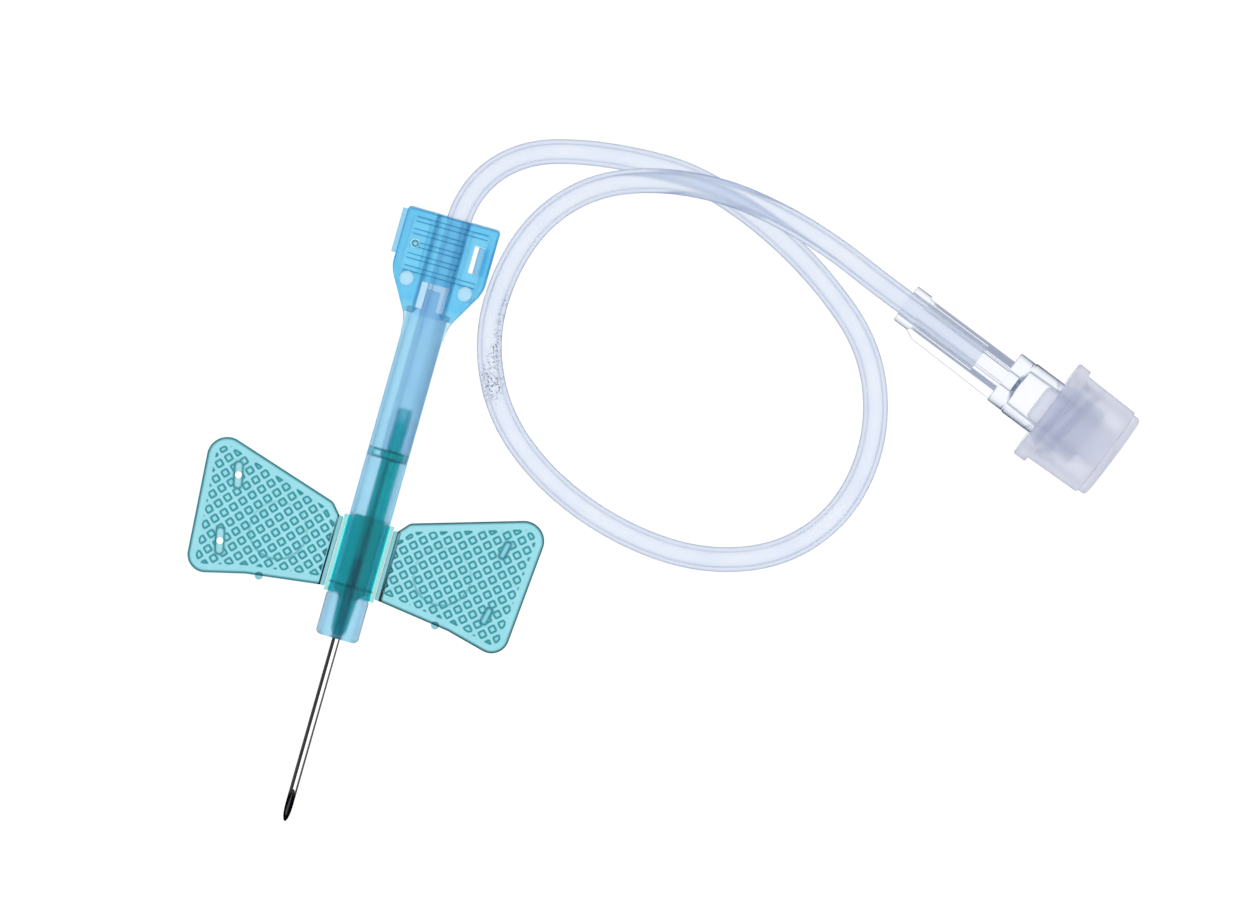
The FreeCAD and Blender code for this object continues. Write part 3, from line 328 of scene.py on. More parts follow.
def smooth_copy(node, name, edge=0.0, angle=math.radians(32), hair=0.008 * MM):
    """The packed mesh of a node with its points merged and its faces smooth, except over sharp edges, which
    can get a narrow chamfer. Each point moves a hair inwards along its normal, so that faces of two pieces
    that touch stay apart."""
    mesh = frame["nodes"][node].data.copy()
    mesh.name = name
    mesh.materials.clear()
    work = bmesh.new()
    work.from_mesh(mesh)
    bmesh.ops.remove_doubles(work, verts=work.verts, dist=1e-7)
    bmesh.ops.dissolve_degenerate(work, edges=work.edges, dist=1e-8)
    if edge:
        flat = math.radians(0.2)
        bmesh.ops.dissolve_limit(work, angle_limit=flat, verts=work.verts, edges=work.edges)
        sharp = [side for side in work.edges if len(side.link_faces) == 2 and side.calc_face_angle() > angle]
        bmesh.ops.bevel(work, geom=sharp, offset=edge, offset_type="OFFSET", segments=1, affect="EDGES",
                        clamp_overlap=True, loop_slide=False)
    work.to_mesh(mesh)
    work.free()
    points = np.empty(len(mesh.vertices) * 3)
    normals = np.empty(len(mesh.vertices) * 3)
    mesh.vertices.foreach_get("co", points)
    mesh.vertex_normals.foreach_get("vector", normals)
    mesh.vertices.foreach_set("co", points - hair * normals)
    mesh.update()
    for attribute in ("custom_normal", "sharp_face", "sharp_edge"):
        if attribute in mesh.attributes:
            mesh.attributes.remove(mesh.attributes[attribute])
    mesh.shade_smooth()
    mesh.set_sharp_from_angle(angle=angle)
    thing = place(name, mesh)
    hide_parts(node)
    return thing


def dress(thing, body, material):
    """Seat a finished piece on its body, with its finish."""
    thing.data.materials.clear()
    thing.data.materials.append(material)
    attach(thing, body)


# Finishes

# Nearly all of a noise pattern lies between these two values.
NOISE_REACH = (0.3, 0.7)
# The least light that a plastic lets through at its depth, in any colour.
LEAST_LIGHT = 0.004
# The width over which a tint fades in.
TINT_EDGE = 0.08 * MM


def new_finish(name):
    """A material with its node tree, its shader and its output."""
    material = bpy.data.materials.new(name)
    material.use_nodes = True
    tree = material.node_tree
    return material, tree, tree.nodes["Principled BSDF"], tree.nodes["Material Output"]


def fill(tree, node, inputs):
    """Set each input of a node to its value, or link it to its socket."""
    for name, value in inputs.items():
        if isinstance(value, bpy.types.NodeSocket):
            tree.links.new(value, node.inputs[name])
        else:
            node.inputs[name].default_value = value


def add_node(tree, kind, inputs, **settings):
    """A shader node with its settings and its inputs."""
    node = tree.nodes.new(kind)
    for name, value in settings.items():
        setattr(node, name, value)
    fill(tree, node, inputs)
    return node


def position(tree):
    """A point's place in the piece's own frame."""
    return tree.nodes.new("ShaderNodeTexCoord").outputs["Object"]


def noise(tree, scale, detail=3.0, stretch=(1, 1, 1)):
    """A noise pattern fixed to the piece; the scale is in cells for each metre."""
    mapping = add_node(tree, "ShaderNodeMapping", {"Vector": position(tree), "Scale": stretch})
    pattern = add_node(tree, "ShaderNodeTexNoise",
                       {"Vector": mapping.outputs["Vector"], "Scale": scale, "Detail": detail})
    return pattern.outputs["Fac"]


def map_range(tree, value, start, end, low, high, course="SMOOTHSTEP"):
    """A number that goes from low to high while the value goes from the start to the end."""
    node = add_node(tree, "ShaderNodeMapRange", {"Value": value, "From Min": start, "From Max": end,
                                                 "To Min": low, "To Max": high}, interpolation_type=course)
    return node.outputs["Result"]


def spread(tree, pattern, low, high):
    """A noise pattern spread between two numbers."""
    return map_range(tree, pattern, *NOISE_REACH, low, high, "LINEAR")


def blend_colours(tree, pattern, first, second):
    """A colour between two, by a noise pattern."""
    ramp = add_node(tree, "ShaderNodeValToRGB", {"Fac": pattern})
    for index, colour in enumerate((first, second)):
        ramp.color_ramp.elements[index].position = NOISE_REACH[index]
        ramp.color_ramp.elements[index].color = (*colour, 1)
    return ramp.outputs["Color"]


def mix_colours(tree, share, first, second):
    """A mixture of two colours or sockets, by the share of the second."""
    node = add_node(tree, "ShaderNodeMix", {"Factor": share, "A": first, "B": second}, data_type="RGBA")
    return node.outputs["Result"]


def bump(tree, height, distance, under=None):
    """A relief from a pattern, on top of another relief."""
    node = add_node(tree, "ShaderNodeBump", {"Height": height, "Distance": distance, "Strength": 1.0})
    if under is not None:
        tree.links.new(under, node.inputs["Normal"])
    return node.outputs["Normal"]


def absorb(tree, output, colour, depth):
    """Absorption inside a solid that leaves the colour of white light at the depth."""
    paths = [-math.log(max(channel, LEAST_LIGHT)) / depth for channel in colour]
    headroom = 1.01
    density = max(paths) * headroom
    passed = (*(1 - path / density for path in paths), 1)
    node = add_node(tree, "ShaderNodeVolumeAbsorption", {"Density": density, "Color": passed})
    tree.links.new(node.outputs["Volume"], output.inputs["Volume"])


def shades(tint, apart=0.03):
    """A slightly deeper and a slightly paler shade of a tint."""
    return tuple(max(part - apart, 0) for part in tint), tuple(min(part + apart, 1) for part in tint)


def clear_plastic(name, colour, depth, tints, rough, ior, clear, grain, relief):
    """Moulded see-through plastic: coloured by depth, with a slight haze, flow marks and a fine relief."""
    material, tree, shader, output = new_finish(name)
    flow = noise(tree, grain, 4.0)
    fine = noise(tree, grain * 9, 2.0)
    fill(tree, shader, {
        "Base Color": blend_colours(tree, flow, *tints),
        "Roughness": spread(tree, flow, *rough),
        "Normal": bump(tree, fine, relief, bump(tree, flow, relief * 3)),
        "IOR": ior,
        "Transmission Weight": clear,
    })
    absorb(tree, output, colour, depth)
    return material


def calculate(tree, operation, *values):
    """One step of arithmetic on numbers or sockets."""
    return add_node(tree, "ShaderNodeMath", dict(enumerate(values)), operation=operation).outputs["Value"]


def fade_out(tree, value, whole, none):
    """One below the first number, nought above the second, smooth between them."""
    return map_range(tree, value, whole, none, 1.0, 0.0)


def band(tree, value, middle, half, soft=TINT_EDGE):
    """One where a coordinate lies within a band, nought outside it."""
    away = calculate(tree, "ABSOLUTE", calculate(tree, "SUBTRACT", value, middle))
    return fade_out(tree, away, half, half + soft)


def patch(tree, plan, middle, half, soft=(TINT_EDGE, TINT_EDGE)):
    """One inside a rectangle in plan, nought outside it."""
    across, along = (band(tree, *side) for side in zip(plan, middle, half, soft))
    return calculate(tree, "MULTIPLY", across, along)


def ring(tree, plan, middle, radius, half):
    """One along a circle in plan, nought away from it."""
    squares = [calculate(tree, "POWER", calculate(tree, "SUBTRACT", value, centre), 2.0)
               for value, centre in zip(plan, middle)]
    return band(tree, calculate(tree, "SQRT", calculate(tree, "ADD", *squares)), radius, half)


def plan_coordinates(tree):
    """The piece's own x and y."""
    parts = add_node(tree, "ShaderNodeSeparateXYZ", {"Vector": position(tree)})
    return parts.outputs["X"], parts.outputs["Y"]


def tint_where(material, where, tint):
    """Blend the finish's own tint into another one where a pattern says so."""
    tree = material.node_tree
    base = tree.nodes["Principled BSDF"].inputs["Base Color"]
    tree.links.new(mix_colours(tree, where, base.links[0].from_socket, (*tint, 1)), base)


def wing_finish(colours):
    """Soft translucent teal plastic with a faint moulded haze, with painted shade along the sides of the
    relief, the rim and the fold.
    """
    material = clear_plastic("teal_wing_plastic", colours.wing, colours.wing_depth, shades(colours.wing_skin),
                             rough=(0.12, 0.24), ior=1.34, clear=0.97, grain=600, relief=2e-6)
    # The "line" attribute holds the painted shade of the relief, the rim and the fold.
    line = add_node(material.node_tree, "ShaderNodeAttribute", {}, attribute_name="line")
    tint_where(material, line.outputs["Fac"], colours.wing_painted_shade)
    return material


def hub_finish(colours):
    """Dark translucent teal plastic, with painted light on the left of the body and painted shade in the nose
    cone, along the bore and at the steps; paler in the thin webs at the sides and at the end of the tail."""
    material = clear_plastic("teal_hub_plastic", colours.hub, colours.hub_depth,
                             shades(colours.hub_skin, 0.02),
                             rough=(0.1, 0.2), ior=1.22, clear=0.98, grain=500, relief=2e-6)
    tree = material.node_tree
    x, y = plan_coordinates(tree)
    # Painted light on the left of the body.
    body_middle, body_half = 8.55 * MM, 3.8 * MM
    left_whole, left_end = -0.9 * MM, -0.1 * MM
    left = calculate(tree, "MULTIPLY", fade_out(tree, x, left_whole, left_end),
                     band(tree, y, body_middle, body_half))
    tint_where(material, left, colours.hub_left_painted_light)
    # Painted shade in the nose cone.
    nose_end, body_start = 4.3 * MM, 5.0 * MM
    tint_where(material, fade_out(tree, y, nose_end, body_start), colours.hub_nose_painted_shade)
    # Painted shade along the bore.
    bore_middle, bore_half, bore_edge = (0.1 * MM, 11.8 * MM), (0.1 * MM, 6.4 * MM), (0.35 * MM, 0.3 * MM)
    tint_where(material, patch(tree, (x, y), bore_middle, bore_half, bore_edge), colours.hub_bore_painted_shade)
    # Painted shade along the steps.
    nose_step, ring_step, tail_step = 5.15 * MM, 18.52 * MM, 19.33 * MM
    shade_line_half = 0.05 * MM
    steps = band(tree, y, ring_step, shade_line_half)
    for along in (tail_step, nose_step):
        steps = calculate(tree, "MAXIMUM", steps, band(tree, y, along, shade_line_half))
    tint_where(material, steps, colours.hub_step_painted_shade)
    solid_half, solid_edge = 2.15 * MM, 0.2 * MM
    solid = band(tree, x, 0.0, solid_half, solid_edge)
    tint_where(material, calculate(tree, "SUBTRACT", 1.0, solid), colours.hub_web)
    tail_start, tail_end, tail_share = 21.6 * MM, 23.3 * MM, 0.9
    tint_where(material, map_range(tree, y, tail_start, tail_end, 0.0, tail_share), colours.hub_web)
    return material


def sheath_finish(colours):
    """Light blue translucent plastic, deeper in the folded strap, the hook and the window, with a ring of
    painted shade round the tip of the pin."""
    material = clear_plastic("blue_sheath_plastic", colours.sheath, colours.sheath_depth,
                             shades(colours.sheath_skin),
                             rough=(0.34, 0.46), ior=1.19, clear=0.98, grain=420, relief=1.5e-6)
    tree = material.node_tree
    x, y = plan_coordinates(tree)
    strap_end = -4.8 * MM
    strap = fade_out(tree, x, strap_end - 0.05 * MM, strap_end)
    hook_middle, hook_half = (3.75 * MM, 40.25 * MM), (0.5 * MM, 1.4 * MM)
    hook = patch(tree, (x, y), hook_middle, hook_half)
    tint_where(material, calculate(tree, "MAXIMUM", strap, hook), colours.strap)
    window_middle, window_half = (0.0, 35.5 * MM), (1.75 * MM, 2.1 * MM)
    tint_where(material, patch(tree, (x, y), window_middle, window_half), colours.window)
    # Painted shade round the tip of the pin.
    pin_middle, pin_radius, shade_line_half = (-3.15 * MM, 40.25 * MM), 0.27 * MM, 0.05 * MM
    tint_where(material, ring(tree, (x, y), pin_middle, pin_radius, shade_line_half), colours.pin_painted_shade)
    return material


def cover_finish(colours):
    """Deeper blue translucent plastic, with painted light at the front and painted shade along the rim and
    along the sides of the five finger ribs. A wave that repeats with the ribs gives the distance to the
    nearest rib, and bands keep it to the ribs' own lengths."""
    material = clear_plastic("blue_cover_plastic", colours.cover, colours.cover_depth,
                             shades(colours.cover_skin),
                             rough=(0.34, 0.46), ior=1.2, clear=0.98, grain=420, relief=1.5e-6)
    tree = material.node_tree
    x, y = plan_coordinates(tree)
    # Painted light at the front, which lifts the shade of its sloping faces.
    front_end = 34.5 * MM
    tint_where(material, fade_out(tree, y, front_end, front_end + 0.1 * MM), colours.cover_front_painted_light)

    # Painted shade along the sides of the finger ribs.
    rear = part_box("grip_cover")[1][1]
    last_rib = rear - 1.0 * MM
    pitch, width, count = 1.26 * MM, 0.48 * MM, 5
    middle = last_rib - (count - 1) / 2 * pitch
    wave = calculate(tree, "PINGPONG", calculate(tree, "SUBTRACT", y, last_rib), pitch / 2)
    away = calculate(tree, "ABSOLUTE", calculate(tree, "SUBTRACT", wave, width / 2))
    rib_shade_whole, rib_shade_end = 0.02 * MM, 0.1 * MM
    line = fade_out(tree, away, rib_shade_whole, rib_shade_end)
    field = band(tree, y, middle, (count - 1) / 2 * pitch + 0.4 * MM)
    short_middle, short_half = -1.0 * MM, 2.6 * MM
    long_middle, long_half = 0.1 * MM, 3.7 * MM
    outer = calculate(tree, "SUBTRACT", 1.0, band(tree, y, middle, (count - 2) / 2 * pitch))
    long = calculate(tree, "MULTIPLY", band(tree, x, long_middle, long_half), outer)
    reach = calculate(tree, "MAXIMUM", band(tree, x, short_middle, short_half), long)
    where = calculate(tree, "MULTIPLY", field, reach)
    tint_where(material, calculate(tree, "MULTIPLY", line, where), colours.cover_painted_shade)

    # Painted shade along the rim.
    rim_half, rim_width, rim_edge, rim_shade_share = 4.58 * MM, 0.24 * MM, 0.06 * MM, 0.8
    inside = calculate(tree, "MULTIPLY", band(tree, x, 0.0, rim_half, rim_edge),
                       fade_out(tree, y, rear - rim_width, rear - rim_width + rim_edge))
    rim = calculate(tree, "MULTIPLY", calculate(tree, "SUBTRACT", 1.0, inside), rim_shade_share)
    tint_where(material, rim, colours.cover_painted_shade)
    return material


def connector_finish(colours):
    """Clear hard plastic."""
    return clear_plastic("clear_connector_plastic", colours.connector, colours.connector_depth,
                         ((0.975, 0.98, 1.0), (1.0, 1.0, 1.0)),
                         rough=(0.1, 0.18), ior=1.2, clear=1.0, grain=350, relief=1.5e-7)


def cap_finish(colours, name, ior):
    """Frosted natural plastic."""
    return clear_plastic(name, colours.cap, colours.cap_depth, ((0.87, 0.88, 0.92), (0.93, 0.94, 0.97)),
                         rough=(0.6, 0.72), ior=ior, clear=0.98, grain=700, relief=2e-6)


def tube_finish(colours):
    """Clear soft plastic with a matte stippled patch on the inside of the loop."""
    material = clear_plastic("clear_tube_plastic", colours.tube, colours.tube_depth,
                             ((0.95, 0.965, 1.0), (1.0, 1.0, 1.0)),
                             rough=(0.3, 0.42), ior=1.15, clear=0.98, grain=260, relief=3e-7)
    tree = material.node_tree
    dots_in_a_metre, dot_whole, dot_end = 2900, 0.2, 0.34
    cells = add_node(tree, "ShaderNodeTexVoronoi", {"Vector": position(tree), "Scale": dots_in_a_metre})
    dots = fade_out(tree, cells.outputs["Distance"], dot_whole, dot_end)
    matte_middle, matte_half, matte_edge = (8.1 * MM, 32.5 * MM), (0.8 * MM, 4.5 * MM), (0.8 * MM, 2 * MM)
    matte = patch(tree, plan_coordinates(tree), matte_middle, matte_half, matte_edge)
    tint_where(material, calculate(tree, "MULTIPLY", dots, matte), colours.tube_dot)
    return material


def steel_finish():
    """Bright drawn steel with fine lines along the needle, and a painted dark reflection on the ground bevel.
    """
    material, tree, shader, output = new_finish("needle_steel")
    lines = noise(tree, 900, 3.0, stretch=(14, 0.6, 14))
    fill(tree, shader, {
        "Base Color": blend_colours(tree, lines, (0.86, 0.85, 0.87), (0.97, 0.96, 0.98)),
        "Roughness": spread(tree, lines, 0.06, 0.14),
        "Normal": bump(tree, lines, 1e-6),
        "Metallic": 1.0,
    })
    # Painted dark reflection on the ground bevel: a near-black base colour on the steel.
    bevel_whole, bevel_end, bevel_painted_shade = -16.9 * MM, -16.3 * MM, (0.05, 0.045, 0.055)
    y = plan_coordinates(tree)[1]
    tint_where(material, fade_out(tree, y, bevel_whole, bevel_end), bevel_painted_shade)
    return material


# Tube

def route_points():
    """All control points of the tube's line, from its seat on the hub to its seat in the connector."""
    length, approach, seat = 22.8 * MM, 4.2 * MM, 9.2 * MM
    behind_mouth = (length + approach, length, length - seat)
    ends = [tuple(CONNECTOR_MOUTH - CONNECTOR_AXIS * back) for back in behind_mouth]
    return [TUBE_START, *TUBE_FREE, *ends]


def follow(points, steps):
    """Points along a smooth line that has the given points as its control points."""
    curve = bpy.data.curves.new("tube_line", "CURVE")
    curve.dimensions = "3D"
    curve.resolution_u = steps
    curve.render_resolution_u = steps
    line = curve.splines.new("NURBS")
    line.points.add(len(points) - 1)
    line.points.foreach_set("co", np.c_[np.array(points), np.ones(len(points))].ravel())
    line.order_u = 3
    line.use_endpoint_u = True
    thing = bpy.data.objects.new("tube_line", curve)
    mesh = bpy.data.meshes.new_from_object(thing)
    path = np.empty(len(mesh.vertices) * 3)
    mesh.vertices.foreach_get("co", path)
    bpy.data.meshes.remove(mesh)
    bpy.data.objects.remove(thing)
    bpy.data.curves.remove(curve)
    return path.reshape(-1, 3)


def directions(path):
    """Unit vectors along a line of points."""
    ahead = np.gradient(path, axis=0)
    return ahead / np.linalg.norm(ahead, axis=1)[:, None]


def tube_rings(path, radius, around):
    """Rings round a line. Each ring lies square to the line; its first way is the line's way crossed with
    straight up, which never lies along this line, so the rings don't twist."""
    ahead = directions(path)
    side = np.cross(ahead, (0.0, 0.0, 1.0))
    side /= np.linalg.norm(side, axis=1)[:, None]
    over = np.cross(side, ahead)
    turn = np.linspace(0, math.tau, around, endpoint=False)
    ring = side[:, None] * np.cos(turn)[None, :, None] + over[:, None] * np.sin(turn)[None, :, None]
    return path[:, None] + radius * ring


class NEEDLESET_OT_lay_tube(Operator):
    bl_idname = "needle_set.lay_tube"
    bl_label = "Tube"

    def execute(self, context):
        sizes = context.scene.tube_sizes
        path = follow(route_points(), sizes.steps)
        around, rows = sizes.around, len(path)
        steps = np.r_[0, np.cumsum(np.linalg.norm(np.diff(path, axis=0), axis=1))]
        seat, lead_in, squeeze = 9.4 * MM, 0.4 * MM, 0.03
        seated = ease((steps - steps[-1] + seat) / lead_in)
        squeezed = (sizes.outside / 2 * (1 - squeeze * seated))[:, None, None]
        outer = tube_rings(path, squeezed, around).reshape(-1, 3)
        inner = tube_rings(path, sizes.bore / 2, around).reshape(-1, 3)
        outside = grid_faces(rows, around, closed_columns=True)[:, ::-1]
        inside = grid_faces(rows, around, closed_columns=True, offset=len(outer))
        first = np.arange(around)
        after = (first + 1) % around
        rims = []
        for row, turned in ((0, False), (rows - 1, True)):
            a, b = row * around + first, row * around + after
            rim = np.stack([a, a + len(outer), b + len(outer), b], 1)
            rims.append(rim[:, ::-1] if turned else rim)
        points = np.concatenate([outer, inner])
        tube = make_object("clear_tube", points, np.concatenate([outside, inside, *rims]))
        along = np.tile(np.repeat(steps, around), 2)
        turn = np.tile(first / around, 2 * rows)
        outward(tube)
        add_uv(tube.data, along, turn)
        tube.data.set_sharp_from_angle(angle=math.radians(60))
        dress(tube, "needle_set", tube_finish(context.scene.plastic_colours))
        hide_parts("tube")
        return {"FINISHED"}


# Wings

# Painted shade on the bead and the gate stub, from nought to one.
BAR_PAINTED_SHADE = 0.25
# The middle of a painted shade line inside the edge that it follows.
SHADE_LINE_INSIDE = 0.04 * MM


def rounded_corner(before, corner, after, radius, steps=16):
    """Points of the arc that rounds a corner: its centre lies on the bisector, its ends on both sides."""
    into = (corner - before) / np.linalg.norm(corner - before)
    out = (after - corner) / np.linalg.norm(after - corner)
    turn = math.acos(float(np.clip(into @ out, -1, 1)))
    back = radius * math.tan(turn / 2)
    inward = (out - into) / np.linalg.norm(out - into)
    centre = corner + inward * math.hypot(radius, back)
    first, last = corner - into * back - centre, corner + out * back - centre
    share = np.linspace(0, 1, steps)[:, None]
    arc = (np.sin((1 - share) * turn) * first + np.sin(share * turn) * last) / math.sin(turn)
    return centre + arc


def wing_sides(sizes):
    """The four sides of a wing's outline as lines of points, meeting at the middle of the tip arcs."""
    corners = [np.array(pair) for pair in (
        (sizes.inner, sizes.front), (sizes.kink_out, sizes.kink_along), (sizes.tip_out, sizes.tip_front),
        (sizes.tip_rear_out, sizes.tip_rear), (sizes.shoulder_out, sizes.shoulder_along),
        (sizes.inner, sizes.rear))]
    start, kink, tip, rear_tip, shoulder, end = corners
    kink_round, tip_round, rear_round, shoulder_round = 3 * MM, 1.8 * MM, 2.05 * MM, 1 * MM
    half_arc = 16
    bend = rounded_corner(start, kink, tip, kink_round)
    tip_arc = rounded_corner(kink, tip, rear_tip, tip_round, 2 * half_arc + 1)
    rear_arc = rounded_corner(tip, rear_tip, shoulder, rear_round, 2 * half_arc + 1)
    shoulder_arc = rounded_corner(rear_tip, shoulder, end, shoulder_round)
    front = np.concatenate([[start], bend, tip_arc[:half_arc + 1]])
    outer = np.concatenate([tip_arc[half_arc:], rear_arc[:half_arc + 1]])
    rear = np.concatenate([rear_arc[half_arc:], shoulder_arc, [end]])[::-1]
    inner = np.array([start, end])
    return front, outer, rear, inner


def resample(line, share, weight_axis=None):
    """Points at shares of a line's length, or of its reach along one axis."""
    step = np.linalg.norm(np.diff(line, axis=0), axis=1)
    if weight_axis is not None:
        length_share = 0.3
        step = length_share * step + np.abs(np.diff(line[:, weight_axis]))
    place = np.r_[0, np.cumsum(step)]
    return np.stack([np.interp(share * place[-1], place, line[:, axis]) for axis in (0, 1)], 1)


def wing_plan(sizes):
    """A grid over the wing: each point mixes the four sides by its two shares (a Coons patch)."""
    front, outer, rear, inner = wing_sides(sizes)
    u = np.linspace(0, 1, sizes.steps_out + 1)
    v = np.linspace(0, 1, sizes.steps_along + 1)
    low, high = resample(front, u, 0), resample(rear, u, 0)
    left, right = resample(inner, v, 1), resample(outer, v, 1)
    u, v = u[:, None, None], v[None, :, None]
    sides = (1 - v) * low[:, None] + v * high[:, None] + (1 - u) * left[None] + u * right[None]
    corners = ((1 - u) * (1 - v) * low[0] + u * (1 - v) * low[-1] + (1 - u) * v * high[0] + u * v * high[-1])
    return sides - corners


def edge_distance(points, line):
    """Distance from each point to a line of straight pieces, the nearest of them."""
    best = np.full(len(points), np.inf)
    for a, b in zip(line[:-1], line[1:]):
        along = b - a
        share = np.clip((points - a) @ along / (along @ along), 0, 1)[:, None]
        best = np.minimum(best, np.linalg.norm(points - a - share * along, axis=1))
    return best


def ease(value):
    """A smooth step from nought to one."""
    value = np.clip(value, 0, 1)
    return value * value * (3 - 2 * value)


def rounded_square(x, y, half, corner):
    """Signed distance to a square with round corners; negative inside."""
    across, along = np.abs(x) - (half - corner), np.abs(y) - (half - corner)
    outside = np.hypot(np.maximum(across, 0), np.maximum(along, 0))
    return outside + np.minimum(np.maximum(across, along), 0) - corner


def bar_distance(points, centre, length, width, lean):
    """Signed distance to a bar with round ends, its long side leaning from the needle axis."""
    rest = points - centre
    along = rest[:, 0] * math.sin(lean) + rest[:, 1] * math.cos(lean)
    across = rest[:, 0] * math.cos(lean) - rest[:, 1] * math.sin(lean)
    beyond = np.maximum(np.abs(along) - (length - width) / 2, 0)
    return np.hypot(beyond, across) - width / 2


def plate_height(to_edge, to_hinge, sizes):
    """Upper face of the plain plate, with its rounded edge and its hinge bevel."""
    drop = np.clip(sizes.edge - np.minimum(to_edge, to_hinge + sizes.edge), 0, sizes.edge)
    plate = sizes.half - sizes.edge + np.sqrt(np.maximum(sizes.edge ** 2 - drop ** 2, 0))
    hinge_half = 0.1 * MM
    return np.minimum(plate, hinge_half + to_hinge)


def pad_distance(points, sizes):
    """Signed distance to the nearest pad of a grid turned by 45 degrees, less its lean."""
    angle = math.pi / 4 - sizes.lean
    rest = points - np.array((sizes.phase_out, sizes.phase_along))
    x = rest[:, 0] * math.cos(angle) + rest[:, 1] * math.sin(angle)
    y = -rest[:, 0] * math.sin(angle) + rest[:, 1] * math.cos(angle)
    pitch = sizes.pad_pitch
    x -= np.round(x / pitch) * pitch
    y -= np.round(y / pitch) * pitch
    return rounded_square(x, y, sizes.pad_half, sizes.pad_corner)


def add_peg(points, centre, height, lines, sizes):
    """Raise a peg from the face, with a line of painted shade round its foot."""
    peg_shoulder, dip, shade_line_share = 0.3 * MM, 0.05 * MM, 1.3
    peg = bar_distance(points, centre, sizes.peg_length, sizes.peg_width, sizes.peg_lean)
    rise = sizes.peg_height * np.sqrt(ease(-peg / peg_shoulder))
    height = np.maximum(height, sizes.half + rise - dip * (rise <= 0))
    lines = np.where(peg < 0, 0, lines)
    return height, np.maximum(lines, np.exp(-(peg / (shade_line_share * sizes.line)) ** 2))


def cut_slot(points, centre, height, lines, sizes):
    """Sink a slot into the face, with a line of painted shade round its mouth and faint painted shade on its
    floor.
    """
    wall, shade_line_share, slot_floor_shade = 0.1 * MM, 1.4, 0.15
    slot = bar_distance(points, centre, sizes.peg_length + 2 * sizes.slot_margin,
                        sizes.peg_width + 2 * sizes.slot_gap, sizes.peg_lean)
    floor = sizes.half - sizes.slot_depth
    deep = ease(-slot / wall)
    height = height * (1 - deep) + floor * deep
    lines = np.where(slot < 0, slot_floor_shade, lines)
    return height, np.maximum(lines, np.exp(-((slot + SHADE_LINE_INSIDE) / (shade_line_share * sizes.line)) ** 2))


def wing_relief(points, sizes, side):
    """Height of the upper face: the plate, and on it the grid of pads, clipped inside the outline, with the
    mould mark cut in and the pegs or the slots. Beside it, from nought to one, painted shade: dark lines
    along the sides of the pads, pegs and slots, the mould mark, the rim and the fold, and a faint tone on the
    slot floors."""
    front, outer, rear, inner = wing_sides(sizes)
    to_edge = edge_distance(points, np.concatenate([front, outer[1:], rear[::-1][1:]]))
    to_hinge = points[:, 0] - sizes.inner
    pad = pad_distance(points, sizes)
    field = np.maximum(sizes.pad_inset - to_edge, sizes.hinge_inset - to_hinge)
    pads = sizes.pad_height * ease(-np.maximum(pad, field) / sizes.pad_slope)

    rest = points - np.array((sizes.mark_out, sizes.mark_along))
    from_mark = np.hypot(rest[:, 0], rest[:, 1]) - sizes.mark_radius
    faintest, groove, mark_shade_share = 0.35, 0.07 * MM, 0.8
    fading = faintest + (1 - faintest) * ease(0.5 - rest[:, 1] / (2 * sizes.mark_radius))
    mark = sizes.mark_depth * fading * np.exp(-(from_mark / groove) ** 2)
    height = plate_height(to_edge, to_hinge, sizes) + pads - mark
    # Painted shade along the sides of the pads, the edge of the pad field and the mould mark.
    lines = np.exp(-((pad + SHADE_LINE_INSIDE) / sizes.line) ** 4) * (field < 0)
    lines = np.maximum(lines, np.exp(-((field + SHADE_LINE_INSIDE) / sizes.line) ** 4) * (pad < 0))
    lines = np.maximum(lines, mark_shade_share * fading * np.exp(-(from_mark / sizes.line) ** 2))

    add_detail = add_peg if side > 0 else cut_slot
    for along in (sizes.peg_front, sizes.peg_rear):
        centre = np.array((sizes.peg_out, along))
        height, lines = add_detail(points, centre, height, lines, sizes)
    # Painted shade along the rim and the fold.
    rim = np.exp(-(to_edge / sizes.rim_shade_width) ** 4)
    fold_shade_share, fold_place = 0.5, 0.06 * MM
    fold = fold_shade_share * np.exp(-((to_hinge - fold_place) / sizes.line) ** 2)
    return height, np.maximum.reduce([lines, rim, fold])


def closed_plate(plan, height, bottom, inset):
    """Upper face from a grid of heights, walls down its rim, a chamfer, and a flat underside. Returns how
    many points of the rim take the full painted shade: all but the last ring, which only bounds the
    underside."""
    rows, columns = plan.shape[:2]
    top = np.concatenate([plan.reshape(-1, 2), height.reshape(-1, 1)], 1)
    index = np.arange(rows * columns).reshape(rows, columns)
    rim = np.concatenate([index[:-1, 0], index[-1, :-1], index[:0:-1, -1], index[0, :0:-1]])
    loop = top[rim, :2]
    ahead = np.roll(loop, -1, axis=0) - np.roll(loop, 1, axis=0)
    inward = np.stack([-ahead[:, 1], ahead[:, 0]], 1)
    inward /= np.linalg.norm(inward, axis=1)[:, None]
    count = len(rim)
    rings = [np.c_[loop + inward * shift, np.full(count, level)] for shift, level in
             ((0, bottom + inset), (inset, bottom), (3 * inset, bottom))]
    first = np.arange(count)
    after = (first + 1) % count
    walls = [np.stack([rim, len(top) + first, len(top) + after, np.roll(rim, -1)], 1)]
    for ring in (0, 1):
        base = len(top) + ring * count
        walls.append(np.stack([base + first, base + count + first, base + count + after, base + after], 1))
    faces = face_list(np.concatenate([grid_faces(rows, columns), *walls]))
    faces.append(tuple(reversed((len(top) + 2 * count + first).tolist())))
    return np.concatenate([top, *rings]), faces, 2 * count


